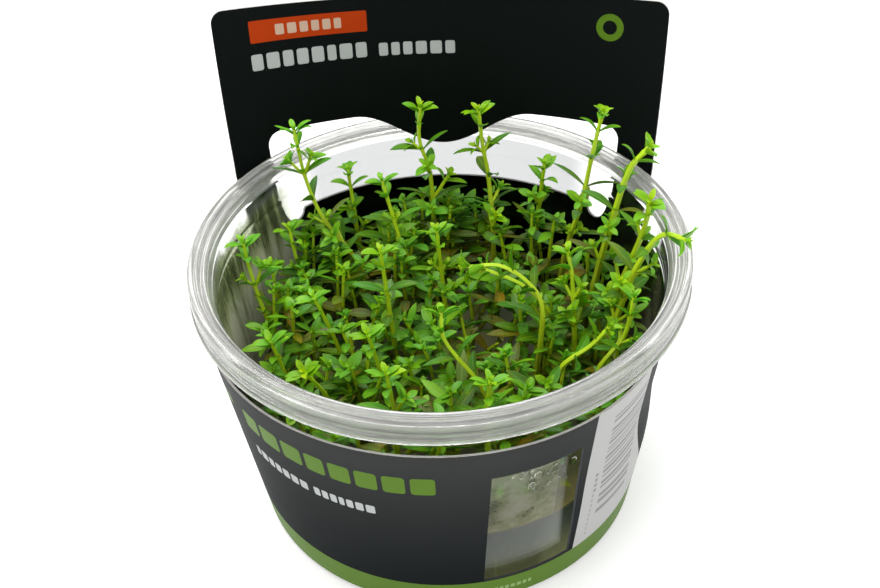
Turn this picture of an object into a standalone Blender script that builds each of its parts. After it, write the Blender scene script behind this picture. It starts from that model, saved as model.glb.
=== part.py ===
"""A clear plastic tissue culture cup of ludwigia shoots on gel, in a card sleeve with a header.

Dimensions are in millimetres and are scaled to metres where the meshes are made.
The origin is the centre of the cup's base on the table; the header stands at +Y.
"""
import math

import bmesh
import bpy
from mathutils import Vector
from mathutils.geometry import delaunay_2d_cdt

MM = 0.001

# Cup: a turned piece of clear plastic with a thin wall and a hollow snap rim.
CUP_HEIGHT = 62.0
CUP_SEGMENTS = 48
CUP_FLOOR = 1.2
CUP_WALL = 0.8
FOOT_FLAT_RADIUS = 38.8
WALL_FOOT_RADIUS = 41.0
WALL_FOOT_Z = 2.2
WALL_DRAFT = 0.0935
RIM_LIP_RADIUS = 50.3
RIM_NECK_RADIUS = 49.8
RIM_SKIRT_THICKNESS = 0.9
RIM_DEPTH = 5.3
RIM_TOP_THICKNESS = 1.6
RIM_CROWN_INNER = 48.4
RIM_MOUTH_RADIUS = 46.3
RIM_MOUTH_DEPTH = 2.2

# Gel: the set culture medium in the bottom of the cup.
GEL_TOP = 22.2
GEL_CREEP = 0.7
TOUCH_GAP = 0.3

# Card sleeve: measured in the unrolled card, u along it from the middle of the header.
CARD_THICKNESS = 0.5
CARD_COLUMNS = 60
BAND_BOTTOM = 1.4
BAND_BOTTOM_RADIUS = 41.8
BAND_FLARE = 0.1277
BAND_REFERENCE_RADIUS = 48.25
BAND_TOP_MEAN = 48.95
BAND_TOP_RISE = 2.95
SIDE_PINCH = 1.5
PINCH_AZIMUTH = 76.0
PINCH_FROM = 18.0
PINCH_SPAN = 18.0
HEADER_TOP = 94.0
HEADER_HALF_WIDTH = 48.4
HEADER_CORNER = 2.7
HEADER_APEX_Y = 43.0
HEADER_LEAN = 0.05
HEADER_BEND_LOW = 87.0
HEADER_BEND_HIGH = 208.0
HEADER_BEND_SPAN = 35.0
STRIP_START_Z = 45.0
STRIP_BLEND_HEIGHT = 10.5
NOTCH_RADIUS = 2.3
NOTCH_CENTRE = (52.7, 48.9)
HOLE_TOP = 66.4
HOLE_HALF_WIDTH = 39.9
HOLE_CORNER = 3.0
HOLE_FLOOR = 46.4
LEG_CENTRE = (38.9, 46.7)
LEG_RADIUS = 2.5
TONGUE_TIP = 58.4
TONGUE_HALF_WIDTH = 20.0
WINDOW_AZIMUTH = 23.6
WINDOW_WIDTH = 18.8
WINDOW_LOW = 8.7
WINDOW_HIGH = 44.0

# Undergrowth: the low tangle of side shoots, with a channel for each tall stem.
UNDERGROWTH_FOOT = GEL_TOP + TOUCH_GAP
UNDERGROWTH_TOP = 38.6
UNDERGROWTH_LUMP = 3.5
TUFT_X = 3.6
TUFT_Y = 4.1
TUFT_SLANT = 6.5
UNDERGROWTH_EDGE_DROP = 3.0
UNDERGROWTH_RADIUS = 40.8
UNDERGROWTH_SPACING = 8.0
UNDERGROWTH_SIDES = 30
CHANNEL_RADIUS = 1.75
CHANNEL_SIDES = 5
CHANNEL_OVERRUN = 4.0

# Shoots: a four-sided stem with crossed pairs of narrow leaves.
STEM_FOOT = GEL_TOP + TOUCH_GAP
STEM_RADIUS = 0.95
STEM_TIP_RADIUS = 0.5
STEM_STEPS = 10
LEAF_ABOVE_UNDERGROWTH = 1.0
FIRST_NODE = 1.6
INTERNODE = 6.2
TIP_INTERNODE = 2.9
NODE_HEIGHT = 0.9
LEAF_LENGTH = 8.6
TIP_LEAF_LENGTH = 4.6
LEAF_WIDTH_RATIO = 0.3
LEAF_THICKNESS = 0.5
SHORTEST_LEAF = 2.4
LEAF_TO_LEAF = 2.1
LEAF_TO_STEM = 2.5
LEAF_TO_WALL = 1.0
LEAF_TO_CARD = 1.4
NEAR_ENOUGH = 45.0
TWISTS_TRIED = 8
LENGTH_STEP = 0.6

# Each shoot: its root on the gel (x, y), then points up its stem (x, y, z) to the tip.
SHOOTS = {
    "shoot_back_left": ((-14, 18), (-19.5, 20.5, 41), (-26.5, 22, 53), (-29.5, 24, 62), (-31, 26, 73)),
    "shoot_back_mid_left": ((-2, 28), (-2.5, 31, 41), (-3, 32.5, 57), (-5, 33.5, 65), (-4.5, 34, 73)),
    "shoot_back_mid_right": ((11, 25), (11, 28, 41), (10, 32.8, 56), (9, 33.5, 62), (8, 34, 72)),
    "shoot_back_right": ((24, 19), (27, 22, 42), (30.3, 22.7, 56), (32, 25, 65), (34, 27, 75)),
    "shoot_spear": ((30, 11), (33.2, 12.6, 43), (36, 14, 57), (39, 15, 69), (42.5, 15, 74)),
    "shoot_right": ((34, 4.5), (37, 6, 43), (39.5, 6.5, 52), (41.5, 6.3, 60), (42, 5, 68)),
    "shoot_over_rim": ((32, -3), (36, -2.5, 43), (38.8, -1.5, 54), (42, -2, 62.5), (44.5, -3.5, 66),
                       (48, -5, 65.5)),
    "shoot_left": ((-34, 1), (-37, 1, 40), (-39, 3, 48), (-40.2, 4.5, 54), (-40.6, 5, 59)),
    "shoot_left_whorl": ((-19, -4), (-22.5, -4, 40), (-25.6, -5, 52.5)),
    "shoot_front_left": ((-20, -17), (-22.6, -21, 40), (-25.5, -25, 50.5)),
    "shoot_arch": ((19, -6), (20.5, -5, 40), (20, -1.5, 49), (13, 2, 54), (5, 4, 52.5)),
    "shoot_low_arch": ((24, 1.5), (22.5, 2.5, 41), (17, 4.5, 47), (9, 7, 49.5)),
    "shoot_front_diagonal": ((13, -19), (8, -18.4, 40), (1, -15.5, 50), (0.5, -13, 55)),
    "shoot_mid_right": ((28, -5), (27.6, -2.5, 40), (27, 1, 51), (26, 3.5, 57)),
    "shoot_front_right": ((18, -13), (24.5, -13, 40), (30, -13.4, 46), (33.5, -13.5, 51)),
    "shoot_right_front": ((28, -15), (32, -13.5, 40), (36.7, -11.5, 47), (38.4, -9, 55)),
    "shoot_mid_left": ((-10, 1), (-11, 1, 42), (-12, 1.5, 59)),
    "shoot_back_centre": ((-8, 19), (-9, 21, 42), (-10.5, 22, 50), (-13, 24, 61)),
    "shoot_back_edge_left": ((-20, 30), (-20.5, 32, 42), (-21.5, 34, 57)),
    "shoot_left_back": ((-30, 13), (-32, 16, 42), (-33.4, 18, 53)),
    "shoot_front": ((-8, -27), (-8.5, -28, 42), (-9.5, -28, 53)),
    "shoot_front_mid_left": ((-11, -13), (-12.5, -14, 41), (-14, -15, 51)),
    "shoot_front_mid_right": ((9, -29), (9, -30, 42), (10, -30, 52.5)),
    "shoot_centre": ((1, 9), (0, 10, 42), (-1, 11, 57)),
    "shoot_back_edge_right": ((20, 31), (21, 32.5, 42), (22.5, 33.5, 58)),
    "shoot_left_front": ((-30, -13), (-32, -14, 41), (-33.5, -14.5, 49)),
}


def clear_scene():
    for old in list(bpy.data.objects):
        bpy.data.objects.remove(old, do_unlink=True)


def surface_material(name, colour, roughness, transmission=0.0, ior=1.45):
    material = bpy.data.materials.new(name)
    material.use_nodes = True
    shader = material.node_tree.nodes["Principled BSDF"]
    shader.inputs["Base Color"].default_value = (*colour, 1.0)
    shader.inputs["Roughness"].default_value = roughness
    shader.inputs["Metallic"].default_value = 0.0
    shader.inputs["Transmission Weight"].default_value = transmission
    shader.inputs["IOR"].default_value = ior
    material.diffuse_color = (*colour, 1.0)
    return material


def object_from(name, mesh_data, material, sharp_degrees=35.0):
    """Make an object from a bmesh in metres, shaded smooth with its hard edges kept."""
    bmesh.ops.recalc_face_normals(mesh_data, faces=mesh_data.faces)
    mesh = bpy.data.meshes.new(name)
    mesh_data.to_mesh(mesh)
    mesh_data.free()
    mesh.materials.append(material)
    mesh.shade_smooth()
    mesh.set_sharp_from_angle(angle=math.radians(sharp_degrees))
    made = bpy.data.objects.new(name, mesh)
    bpy.context.scene.collection.objects.link(made)
    return made


def turned(name, profile, segments, material):
    """Spin a closed profile of (radius, z) points, which starts and ends on the axis."""
    shape = bmesh.new()
    line = [shape.verts.new((radius * MM, 0.0, z * MM)) for radius, z in profile]
    edges = [shape.edges.new(pair) for pair in zip(line, line[1:])]
    bmesh.ops.spin(shape, geom=line + edges, cent=(0, 0, 0), axis=(0, 0, 1),
                   angle=math.tau, steps=segments, use_merge=True)
    bmesh.ops.remove_doubles(shape, verts=shape.verts, dist=0.001 * MM)
    return object_from(name, shape, material)


def wall_radius(z):
    """Outer radius of the cup's wall at a height above the table."""
    return WALL_FOOT_RADIUS + (z - WALL_FOOT_Z) * WALL_DRAFT


def cup_profile():
    lip = CUP_HEIGHT - RIM_DEPTH
    shoulder = CUP_HEIGHT - RIM_TOP_THICKNESS
    skirt = RIM_NECK_RADIUS - RIM_SKIRT_THICKNESS
    outside = [
        (0.0, 0.0), (FOOT_FLAT_RADIUS, 0.0), (FOOT_FLAT_RADIUS + 1.5, 0.6),
        (WALL_FOOT_RADIUS, WALL_FOOT_Z), (wall_radius(shoulder - 0.6), shoulder - 0.6),
        (skirt, shoulder), (skirt + 0.2, lip), (RIM_LIP_RADIUS, lip),
        (RIM_LIP_RADIUS, lip + 1.3), (RIM_NECK_RADIUS, lip + 1.7), (RIM_NECK_RADIUS, shoulder),
        (RIM_NECK_RADIUS + 0.3, shoulder + 0.4), (RIM_NECK_RADIUS + 0.2, CUP_HEIGHT - 0.3),
        (RIM_NECK_RADIUS - 0.3, CUP_HEIGHT), (RIM_CROWN_INNER, CUP_HEIGHT),
        (RIM_CROWN_INNER - 0.5, CUP_HEIGHT - 0.6),
    ]
    mouth = CUP_HEIGHT - RIM_MOUTH_DEPTH
    below_mouth = mouth - 1.2
    above_floor = CUP_FLOOR + 2.8
    inside = [
        (RIM_MOUTH_RADIUS + 0.4, CUP_HEIGHT - 0.9), (RIM_MOUTH_RADIUS, mouth),
        (wall_radius(below_mouth) - CUP_WALL, below_mouth),
        (wall_radius(above_floor) - CUP_WALL, above_floor),
        (FOOT_FLAT_RADIUS + 0.1, CUP_FLOOR + 0.8), (FOOT_FLAT_RADIUS - 1.0, CUP_FLOOR),
        (0.0, CUP_FLOOR),
    ]
    return outside + inside


def gel_profile():
    foot = CUP_FLOOR + TOUCH_GAP
    side = CUP_WALL + TOUCH_GAP
    above_foot = foot + 3.1
    edge = wall_radius(GEL_TOP) - side
    return [
        (0.0, foot), (FOOT_FLAT_RADIUS - 1.2, foot), (FOOT_FLAT_RADIUS - 0.3, foot + 0.9),
        (wall_radius(above_foot) - side, above_foot),
        (edge + GEL_CREEP * WALL_DRAFT, GEL_TOP + GEL_CREEP), (edge - 0.8, GEL_TOP + 0.15),
        (edge - 2.4, GEL_TOP), (0.0, GEL_TOP),
    ]


def smooth_step(value):
    value = min(max(value, 0.0), 1.0)
    return value * value * (3.0 - 2.0 * value)


def bent_card(u, z, offset):
    """Place a point of the flat card on the bent one; offset goes outwards through the card.

    The band is a cone about the cup, drawn in to the wall near its top on the right. Above it
    the card straightens and turns upright, so that the header stands as a shallow curve whose
    strips pass outside the cup's rim.
    """
    above = z - CUP_HEIGHT
    flattening = min(max(above / HEADER_BEND_SPAN, 0.0), 1.2)
    header_bend = 1 / HEADER_BEND_LOW + (1 / HEADER_BEND_HIGH - 1 / HEADER_BEND_LOW) * flattening
    header_y = HEADER_APEX_Y + above * HEADER_LEAN
    band_radius = BAND_BOTTOM_RADIUS + (z - BAND_BOTTOM) * BAND_FLARE
    blend = smooth_step((z - STRIP_START_Z) / STRIP_BLEND_HEIGHT)
    blend *= 1.0 - smooth_step((abs(u) - NOTCH_CENTRE[0]) / 4.0)
    bend = (1 - blend) / BAND_REFERENCE_RADIUS + blend * header_bend
    apex = (1 - blend) * band_radius + blend * header_y
    shrink = (1 - blend) * band_radius / BAND_REFERENCE_RADIUS + blend
    radius = shrink / bend
    turn = u * bend
    facing = max(math.cos(turn + math.radians(180.0 + PINCH_AZIMUTH)), 0.0)
    pinch = SIDE_PINCH * facing ** 6 * smooth_step((z - PINCH_FROM) / PINCH_SPAN) * (1 - blend)
    reach = radius - pinch + offset
    x = reach * math.sin(turn)
    y = apex - radius + reach * math.cos(turn)
    return Vector((x, y, z)) * MM


def band_top(u):
    return BAND_TOP_MEAN - BAND_TOP_RISE * math.cos(u / BAND_REFERENCE_RADIUS)


def arc(centre, radius, start, end, steps):
    """Points of an arc in degrees, measured from +u towards +z."""
    points = []
    for step in range(steps + 1):
        angle = math.radians(start + (end - start) * step / steps)
        points.append((centre[0] + radius * math.cos(angle), centre[1] + radius * math.sin(angle)))
    return points


def mirrored(right_half):
    """Close an outline whose right half runs from the middle line round to it again."""
    left_half = [(-u, z) for u, z in reversed(right_half) if u > 0.01]
    return right_half + left_half


def sleeve_outline(half_length, step):
    """The die-cut outline: the band's two edges, the notch and the header."""
    beyond = half_length + step
    right = [(0.0, BAND_BOTTOM), (beyond, BAND_BOTTOM), (beyond, band_top(half_length))]
    u = half_length
    while u > NOTCH_CENTRE[0] + NOTCH_RADIUS + 1.0:
        right.append((u, band_top(u)))
        u -= step
    right += arc(NOTCH_CENTRE, NOTCH_RADIUS, -15, -150, 5)
    right += [(HEADER_HALF_WIDTH - 0.6, 51.6), (HEADER_HALF_WIDTH, 59.0)]
    corner = (HEADER_HALF_WIDTH - HEADER_CORNER, HEADER_TOP - HEADER_CORNER)
    right += arc(corner, HEADER_CORNER, 0, 90, 5)
    right.append((0.0, HEADER_TOP))
    return mirrored(right)


def hole_outline():
    """The opening for the rim: two lobes, the tongue between them and a leg on each side."""
    right = [(0.0, HOLE_FLOOR), (LEG_CENTRE[0] - LEG_RADIUS - 0.5, HOLE_FLOOR)]
    right += arc(LEG_CENTRE, LEG_RADIUS, 200, 370, 6)
    right.append((HOLE_HALF_WIDTH - 0.3, 53.0))
    corner = (HOLE_HALF_WIDTH - HOLE_CORNER, HOLE_TOP - HOLE_CORNER)
    right += arc(corner, HOLE_CORNER, 0, 90, 4)
    rise = HOLE_TOP - TONGUE_TIP
    for step in range(6, -1, -1):
        u = TONGUE_HALF_WIDTH * step / 6
        right.append((u, TONGUE_TIP + rise * (1 - math.cos(math.pi * u / TONGUE_HALF_WIDTH)) / 2))
    return mirrored(right)


def window_outline():
    """The window is a true rectangle, so it spans more of the band's angle lower down."""
    middle = math.radians(180.0 - WINDOW_AZIMUTH) * BAND_REFERENCE_RADIUS
    corners = []
    for z, side in ((WINDOW_LOW, -1), (WINDOW_LOW, 1), (WINDOW_HIGH, 1), (WINDOW_HIGH, -1)):
        radius = BAND_BOTTOM_RADIUS + (z - BAND_BOTTOM) * BAND_FLARE
        corners.append((middle + side * WINDOW_WIDTH / 2 * BAND_REFERENCE_RADIUS / radius, z))
    return corners


def guide_from(name, shape):
    """Make a guide solid, which shapes another piece and is not part of the object."""
    bmesh.ops.recalc_face_normals(shape, faces=shape.faces)
    mesh = bpy.data.meshes.new(name)
    shape.to_mesh(mesh)
    shape.free()
    guide = bpy.data.objects.new(name, mesh)
    guide.hide_render = True
    guide.display_type = "WIRE"
    bpy.context.scene.collection.objects.link(guide)
    return guide


def prism(name, outline, depth=3.0):
    """A guide solid in the flat card's space: u along X, z along Z, through the card along Y."""
    shape = bmesh.new()
    ring = [shape.verts.new((u, -depth, z)) for u, z in outline]
    face = shape.faces.new(ring)
    pushed = bmesh.ops.extrude_face_region(shape, geom=[face])["geom"]
    moved = [item for item in pushed if isinstance(item, bmesh.types.BMVert)]
    bmesh.ops.translate(shape, verts=moved, vec=(0, 2 * depth, 0))
    return guide_from(name, shape)


def cut(target, guide, operation):
    """Apply one Boolean to the target's mesh and remove the guide."""
    modifier = target.modifiers.new(operation, "BOOLEAN")
    modifier.operation = operation
    modifier.solver = "EXACT"
    modifier.object = guide
    bpy.context.view_layer.update()
    evaluated = target.evaluated_get(bpy.context.evaluated_depsgraph_get())
    result = bpy.data.meshes.new_from_object(evaluated)
    target.modifiers.clear()
    target.data = result
    bpy.data.objects.remove(guide, do_unlink=True)


def flat_card(half_length):
    """A flat slab of card, ruled into columns and rows so that it can bend."""
    half = CARD_THICKNESS / 2
    rows = [0.0, 20.0, 43.0, 45.0, 47.2, 49.0, 51.0, 53.2, 56.0, 62.0, 70.0, 78.0, 86.0, 96.0]
    shape = bmesh.new()
    grid = []
    for column in range(CARD_COLUMNS + 1):
        u = -half_length + 2 * half_length * column / CARD_COLUMNS
        grid.append([[shape.verts.new((u, side, z)) for z in rows] for side in (-half, half)])
    for left, right in zip(grid, grid[1:]):
        for row in range(len(rows) - 1):
            for side in (0, 1):
                shape.faces.new((left[side][row], right[side][row],
                                 right[side][row + 1], left[side][row + 1]))
        for row in (0, -1):
            shape.faces.new((left[0][row], right[0][row], right[1][row], left[1][row]))
    for end in (grid[0], grid[-1]):
        for row in range(len(rows) - 1):
            shape.faces.new((end[0][row], end[1][row], end[1][row + 1], end[0][row + 1]))
    return guide_from("flat card", shape)


def card_sleeve(material):
    half_length = math.pi * BAND_REFERENCE_RADIUS
    card = flat_card(half_length)
    step = 2 * half_length / CARD_COLUMNS
    cut(card, prism("sleeve outline", sleeve_outline(half_length, step)), "INTERSECT")
    cut(card, prism("rim opening", hole_outline()), "DIFFERENCE")
    cut(card, prism("window", window_outline()), "DIFFERENCE")

    shape = bmesh.new()
    shape.from_mesh(card.data)
    bpy.data.objects.remove(card, do_unlink=True)
    ends = [face for face in shape.faces
            if min(abs(vert.co.x) for vert in face.verts) > half_length - 0.001]
    bmesh.ops.delete(shape, geom=ends, context="FACES")
    for vert in shape.verts:
        vert.co = bent_card(vert.co.x, vert.co.z, vert.co.y)
    bmesh.ops.remove_doubles(shape, verts=shape.verts, dist=0.01 * MM)
    bmesh.ops.dissolve_limit(shape, angle_limit=math.radians(0.3), verts=shape.verts,
                             edges=shape.edges)
    return object_from("card_sleeve", shape, material)


def undergrowth_height(x, y):
    """Height of the foliage's rolling top, which falls away beside the wall."""
    roll = math.sin(x / TUFT_X + 1.3) * math.cos(y / TUFT_Y) + 0.5 * math.sin((x + y) / TUFT_SLANT)
    edge = max(math.hypot(x, y) / UNDERGROWTH_RADIUS - 0.8, 0.0) / 0.2
    return UNDERGROWTH_TOP + UNDERGROWTH_LUMP * roll / 1.5 - UNDERGROWTH_EDGE_DROP * edge


def undergrowth(material):
    """A low lumpy mound of foliage on the gel, its top an even net of triangles."""
    outer = [(UNDERGROWTH_RADIUS * math.cos(angle), UNDERGROWTH_RADIUS * math.sin(angle))
             for angle in (math.tau * side / UNDERGROWTH_SIDES for side in range(UNDERGROWTH_SIDES))]
    inner = []
    rows = math.ceil(UNDERGROWTH_RADIUS / UNDERGROWTH_SPACING) + 1
    for row in range(-rows, rows + 1):
        for column in range(-rows, rows + 1):
            x = (column + 0.5 * (row % 2)) * UNDERGROWTH_SPACING
            y = row * UNDERGROWTH_SPACING * math.sqrt(0.75)
            if math.hypot(x, y) < UNDERGROWTH_RADIUS - UNDERGROWTH_SPACING / 2:
                inner.append((x, y))
    points = [Vector(point) for point in outer + inner]
    flat, _, triangles = delaunay_2d_cdt(points, [], [], 0, 0.001)[:3]
    shape = bmesh.new()
    top = [shape.verts.new(Vector((x, y, undergrowth_height(x, y))) * MM) for x, y in flat]
    for triangle in triangles:
        shape.faces.new([top[index] for index in triangle])
    rim = top[:UNDERGROWTH_SIDES]
    foot = [shape.verts.new((vert.co.x, vert.co.y, UNDERGROWTH_FOOT * MM)) for vert in rim]
    for side in range(UNDERGROWTH_SIDES):
        after = (side + 1) % UNDERGROWTH_SIDES
        shape.faces.new((rim[side], foot[side], foot[after], rim[after]))
    shape.faces.new(foot)
    return object_from("undergrowth", shape, material)


def stem_channel(root, exit_point):
    """A guide solid round the straight foot of a stem, a little wider than the stem."""
    start = Vector((root[0], root[1], STEM_FOOT))
    end = Vector(exit_point)
    along = (end - start).normalized()
    side = along.cross(Vector((0, 1, 0))).normalized()
    other = along.cross(side)
    shape = bmesh.new()
    rings = []
    for centre in (start - along * CHANNEL_OVERRUN, end + along * CHANNEL_OVERRUN):
        ring = []
        for step in range(CHANNEL_SIDES):
            angle = math.tau * (step + 0.5) / CHANNEL_SIDES
            spoke = math.cos(angle) * side + math.sin(angle) * other
            ring.append(shape.verts.new((centre + CHANNEL_RADIUS * spoke) * MM))
        rings.append(ring)
        shape.faces.new(ring)
    for step in range(CHANNEL_SIDES):
        after = (step + 1) % CHANNEL_SIDES
        shape.faces.new((rings[0][step], rings[0][after], rings[1][after], rings[1][step]))
    return guide_from("channel", shape)


def stem_path(points):
    """A smooth dense line through a shoot's points; its foot up to the second one is straight."""
    root = Vector((points[0][0], points[0][1], STEM_FOOT))
    knots = [root] + [Vector(point) for point in points[1:]]
    dense = [root.lerp(knots[1], step / STEM_STEPS) for step in range(STEM_STEPS)]
    before = knots[0]
    for index in range(1, len(knots) - 1):
        start, end = knots[index], knots[index + 1]
        after = knots[index + 2] if index + 2 < len(knots) else end + (end - start)
        leave = (end - before).normalized() * (end - start).length
        arrive = (after - start).normalized() * (end - start).length
        for step in range(STEM_STEPS):
            t = step / STEM_STEPS
            dense.append((2 * t ** 3 - 3 * t ** 2 + 1) * start + (t ** 3 - 2 * t ** 2 + t) * leave
                         + (3 * t ** 2 - 2 * t ** 3) * end + (t ** 3 - t ** 2) * arrive)
        before = start
    dense.append(knots[-1])
    return dense


def path_length(path):
    return sum((after - before).length for before, after in zip(path, path[1:]))


def along_path(path, distance):
    """Point and direction at a distance from the tip, measured down the stem."""
    left = distance
    for index in range(len(path) - 1, 0, -1):
        length = (path[index] - path[index - 1]).length
        if left <= length or index == 1:
            point = path[index].lerp(path[index - 1], left / length)
            return point, (path[index] - path[index - 1]).normalized()
        left -= length


def leaf_nodes(path):
    """Where the pairs of leaves grow: distances from the tip, close together at the tip."""
    total = path_length(path)
    distances = [FIRST_NODE, FIRST_NODE + TIP_INTERNODE]
    while distances[-1] < total:
        distances.append(distances[-1] + INTERNODE)
    kept = []
    for distance in distances:
        point, _ = along_path(path, min(distance, total))
        if point.z > undergrowth_height(point.x, point.y) + LEAF_ABOVE_UNDERGROWTH + NODE_HEIGHT:
            kept.append(distance)
    return kept


def card_surface_y(x, z):
    """Y of the header's front face over a point, near enough for keeping leaves clear."""
    u = x * 1.04
    for _ in range(4):
        u += (x - bent_card(u, z, 0.0).x / MM)
    return bent_card(u, z, -CARD_THICKNESS / 2).y / MM


def blocked(point):
    """True where a leaf would touch the cup, the card or the undergrowth."""
    radius = math.hypot(point.x, point.y)
    if point.z < CUP_HEIGHT + LEAF_TO_WALL:
        inner = wall_radius(min(point.z, CUP_HEIGHT - RIM_MOUTH_DEPTH)) - CUP_WALL
        if radius > inner - LEAF_TO_WALL:
            return True
    if point.z < undergrowth_height(point.x, point.y) + LEAF_ABOVE_UNDERGROWTH:
        return True
    if point.z > TONGUE_TIP - 1.0 and point.y > 20.0 and abs(point.x) < HEADER_HALF_WIDTH:
        return point.y > card_surface_y(point.x, point.z) - LEAF_TO_CARD
    return False


def leaf_line(foot, outward, upward, length):
    """Middle and tip of a leaf: it rises from the stem and arches over a little."""
    rise = 0.75 if length < LEAF_LENGTH * 0.7 else 0.5
    first = (outward + upward * rise).normalized()
    second = (outward + upward * rise * 0.55).normalized()
    middle = foot + first * length * 0.5
    return middle, middle + second * length * 0.5


def leaf_samples(foot, middle, tip):
    return [foot.lerp(middle, 0.6), middle, middle.lerp(tip, 0.5), tip]


def pair_frame(direction, twist, index):
    """Outward direction of a pair of leaves; each pair is crossed with the one below."""
    side = direction.cross(Vector((math.cos(twist), math.sin(twist), 0.35))).normalized()
    other = direction.cross(side).normalized()
    return (side, other) if index % 2 else (other, -side)


def fitted_leaf(foot, outward, direction, wanted, stems, leaves):
    """The longest leaf, up to the wanted length, that keeps clear of all that is near."""
    length = wanted
    while length >= SHORTEST_LEAF:
        middle, tip = leaf_line(foot, outward, direction, length)
        samples = leaf_samples(foot, middle, tip)
        clear = not any(blocked(point) for point in samples)
        clear = clear and all((point - other).length > LEAF_TO_STEM
                              for point in samples for other in stems)
        clear = clear and all((point - other).length > LEAF_TO_LEAF
                              for point in samples for other in leaves)
        if clear:
            return length
        length -= LENGTH_STEP
    return 0.0


def plan_leaves(paths):
    """Choose each shoot's twist and leaf lengths so that no two shoots touch."""
    plan = {}
    taken = []
    for name, path in paths.items():
        stems = [point for other, line in paths.items() if other != name for point in line]
        stems = [point for point in stems if (point - path[-1]).length < NEAR_ENOUGH]
        best = None
        for turn in range(TWISTS_TRIED):
            twist = math.pi * turn / TWISTS_TRIED
            rows = []
            for index, distance in enumerate(leaf_nodes(path)):
                wanted = TIP_LEAF_LENGTH if index == 0 else LEAF_LENGTH
                wanted *= 0.8 if index == 1 else 1.0
                foot, direction = along_path(path, distance)
                outward, _ = pair_frame(direction, twist, index)
                rows.append([fitted_leaf(foot, side * outward, direction, wanted, stems, taken)
                             for side in (1, -1)])
            score = sum(sum(row) for row in rows)
            if best is None or score > best[0] + 0.01:
                best = (score, twist, rows)
        plan[name] = best[1:]
        for index, distance in enumerate(leaf_nodes(path)):
            foot, direction = along_path(path, distance)
            outward, _ = pair_frame(direction, best[1], index)
            for side, length in zip((1, -1), best[2][index]):
                if length:
                    middle, tip = leaf_line(foot, side * outward, direction, length)
                    taken += leaf_samples(foot, middle, tip)
    return plan


def add_leaf(shape, base, foot, outward, direction, length):
    """Grow a leaf from one side face of the stem, given as its four corners in order."""
    middle, tip = leaf_line(foot, outward, direction, length)
    across = direction.cross(outward).normalized()
    through = (tip - foot).normalized().cross(across).normalized()
    width = length * LEAF_WIDTH_RATIO
    if through.dot(direction) < 0:
        through = -through
    corners = []
    for corner in base:
        offset = corner.co / MM - foot
        wide = math.copysign(width / 2, offset.dot(across))
        thick = math.copysign(LEAF_THICKNESS / 2, offset.dot(direction))
        corners.append(shape.verts.new((middle + across * wide + through * thick) * MM))
    point = shape.verts.new(tip * MM)
    for index in range(4):
        after = (index + 1) % 4
        shape.faces.new((base[index], base[after], corners[after], corners[index]))
        shape.faces.new((corners[index], corners[after], point))


def shoot(name, path, twist, rows, material):
    """One shoot as one closed solid: the stem's rings, with leaves on opposite faces."""
    shape = bmesh.new()
    nodes = list(enumerate(leaf_nodes(path)))
    total = path_length(path)

    def ring(distance, index):
        centre, direction = along_path(path, distance)
        outward, side = pair_frame(direction, twist, index)
        radius = STEM_TIP_RADIUS + (STEM_RADIUS - STEM_TIP_RADIUS) * distance / total
        corners = ((1, 1), (1, -1), (-1, -1), (-1, 1))
        return [shape.verts.new((centre + radius * (a * outward + b * side) * 0.75) * MM)
                for a, b in corners]

    def join(lower, upper, leafy):
        for index in range(4):
            after = (index + 1) % 4
            if index not in leafy:
                shape.faces.new((lower[index], lower[after], upper[after], upper[index]))

    last_index = len(nodes) - 1
    lower = ring(total, last_index)
    shape.faces.new(lower)
    exit_distance = total - (path[STEM_STEPS] - path[0]).length
    if nodes and nodes[-1][1] < exit_distance - 2.0:
        upper = ring(exit_distance, last_index)
        join(lower, upper, ())
        lower = upper
    for index, distance in reversed(nodes):
        below = ring(distance + NODE_HEIGHT / 2, index)
        above = ring(distance - NODE_HEIGHT / 2, index)
        lower = matched(lower, below)
        join(lower, below, ())
        foot, direction = along_path(path, distance)
        outward, _ = pair_frame(direction, twist, index)
        leafy = []
        for face, side, length in ((0, 1, rows[index][0]), (2, -1, rows[index][1])):
            if length:
                leafy.append(face)
                base = (below[face], below[face + 1], above[face + 1], above[face])
                add_leaf(shape, base, foot, side * outward, direction, length)
        join(below, above, leafy)
        lower = above
    bud = shape.verts.new((path[-1]) * MM)
    for index in range(4):
        shape.faces.new((lower[index], lower[(index + 1) % 4], bud))
    return object_from(name, shape, material, sharp_degrees=50.0)


def matched(lower, upper):
    """Turn a ring's list so that its first corner is the one nearest the next ring's first."""
    start = min(range(4), key=lambda index: sum(
        (lower[(index + step) % 4].co - upper[step].co).length for step in range(4)))
    return [lower[(start + step) % 4] for step in range(4)]


def build():
    clear_scene()
    clear = surface_material("clear plastic", (0.93, 0.95, 0.95), 0.06, transmission=1.0, ior=1.5)
    gel = surface_material("culture gel", (0.42, 0.48, 0.44), 0.25, transmission=0.7, ior=1.34)
    card = surface_material("printed card", (0.022, 0.026, 0.028), 0.45)
    green = surface_material("undergrowth green", (0.12, 0.30, 0.04), 0.45)
    lime = surface_material("shoot green", (0.22, 0.46, 0.04), 0.45)

    turned("cup", cup_profile(), CUP_SEGMENTS, clear)
    turned("gel", gel_profile(), CUP_SEGMENTS, gel)
    card_sleeve(card)
    mound = undergrowth(green)
    for points in SHOOTS.values():
        cut(mound, stem_channel(points[0], points[1]), "DIFFERENCE")
    paths = {name: stem_path(points) for name, points in SHOOTS.items()}
    for name, (twist, rows) in plan_leaves(paths).items():
        shoot(name, paths[name], twist, rows, lime)


build()
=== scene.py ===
"""The looks of a clear culture cup of ludwigia shoots on gel, in a dark printed card sleeve.

Dimensions are in millimetres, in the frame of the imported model, and are scaled to metres where
the meshes are made. The origin is the centre of the cup's base; the header stands at +Y.
"""
import math
import random

import bmesh
import bpy
import numpy as np
from mathutils import Matrix, Vector
from mathutils.geometry import delaunay_2d_cdt


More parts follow.
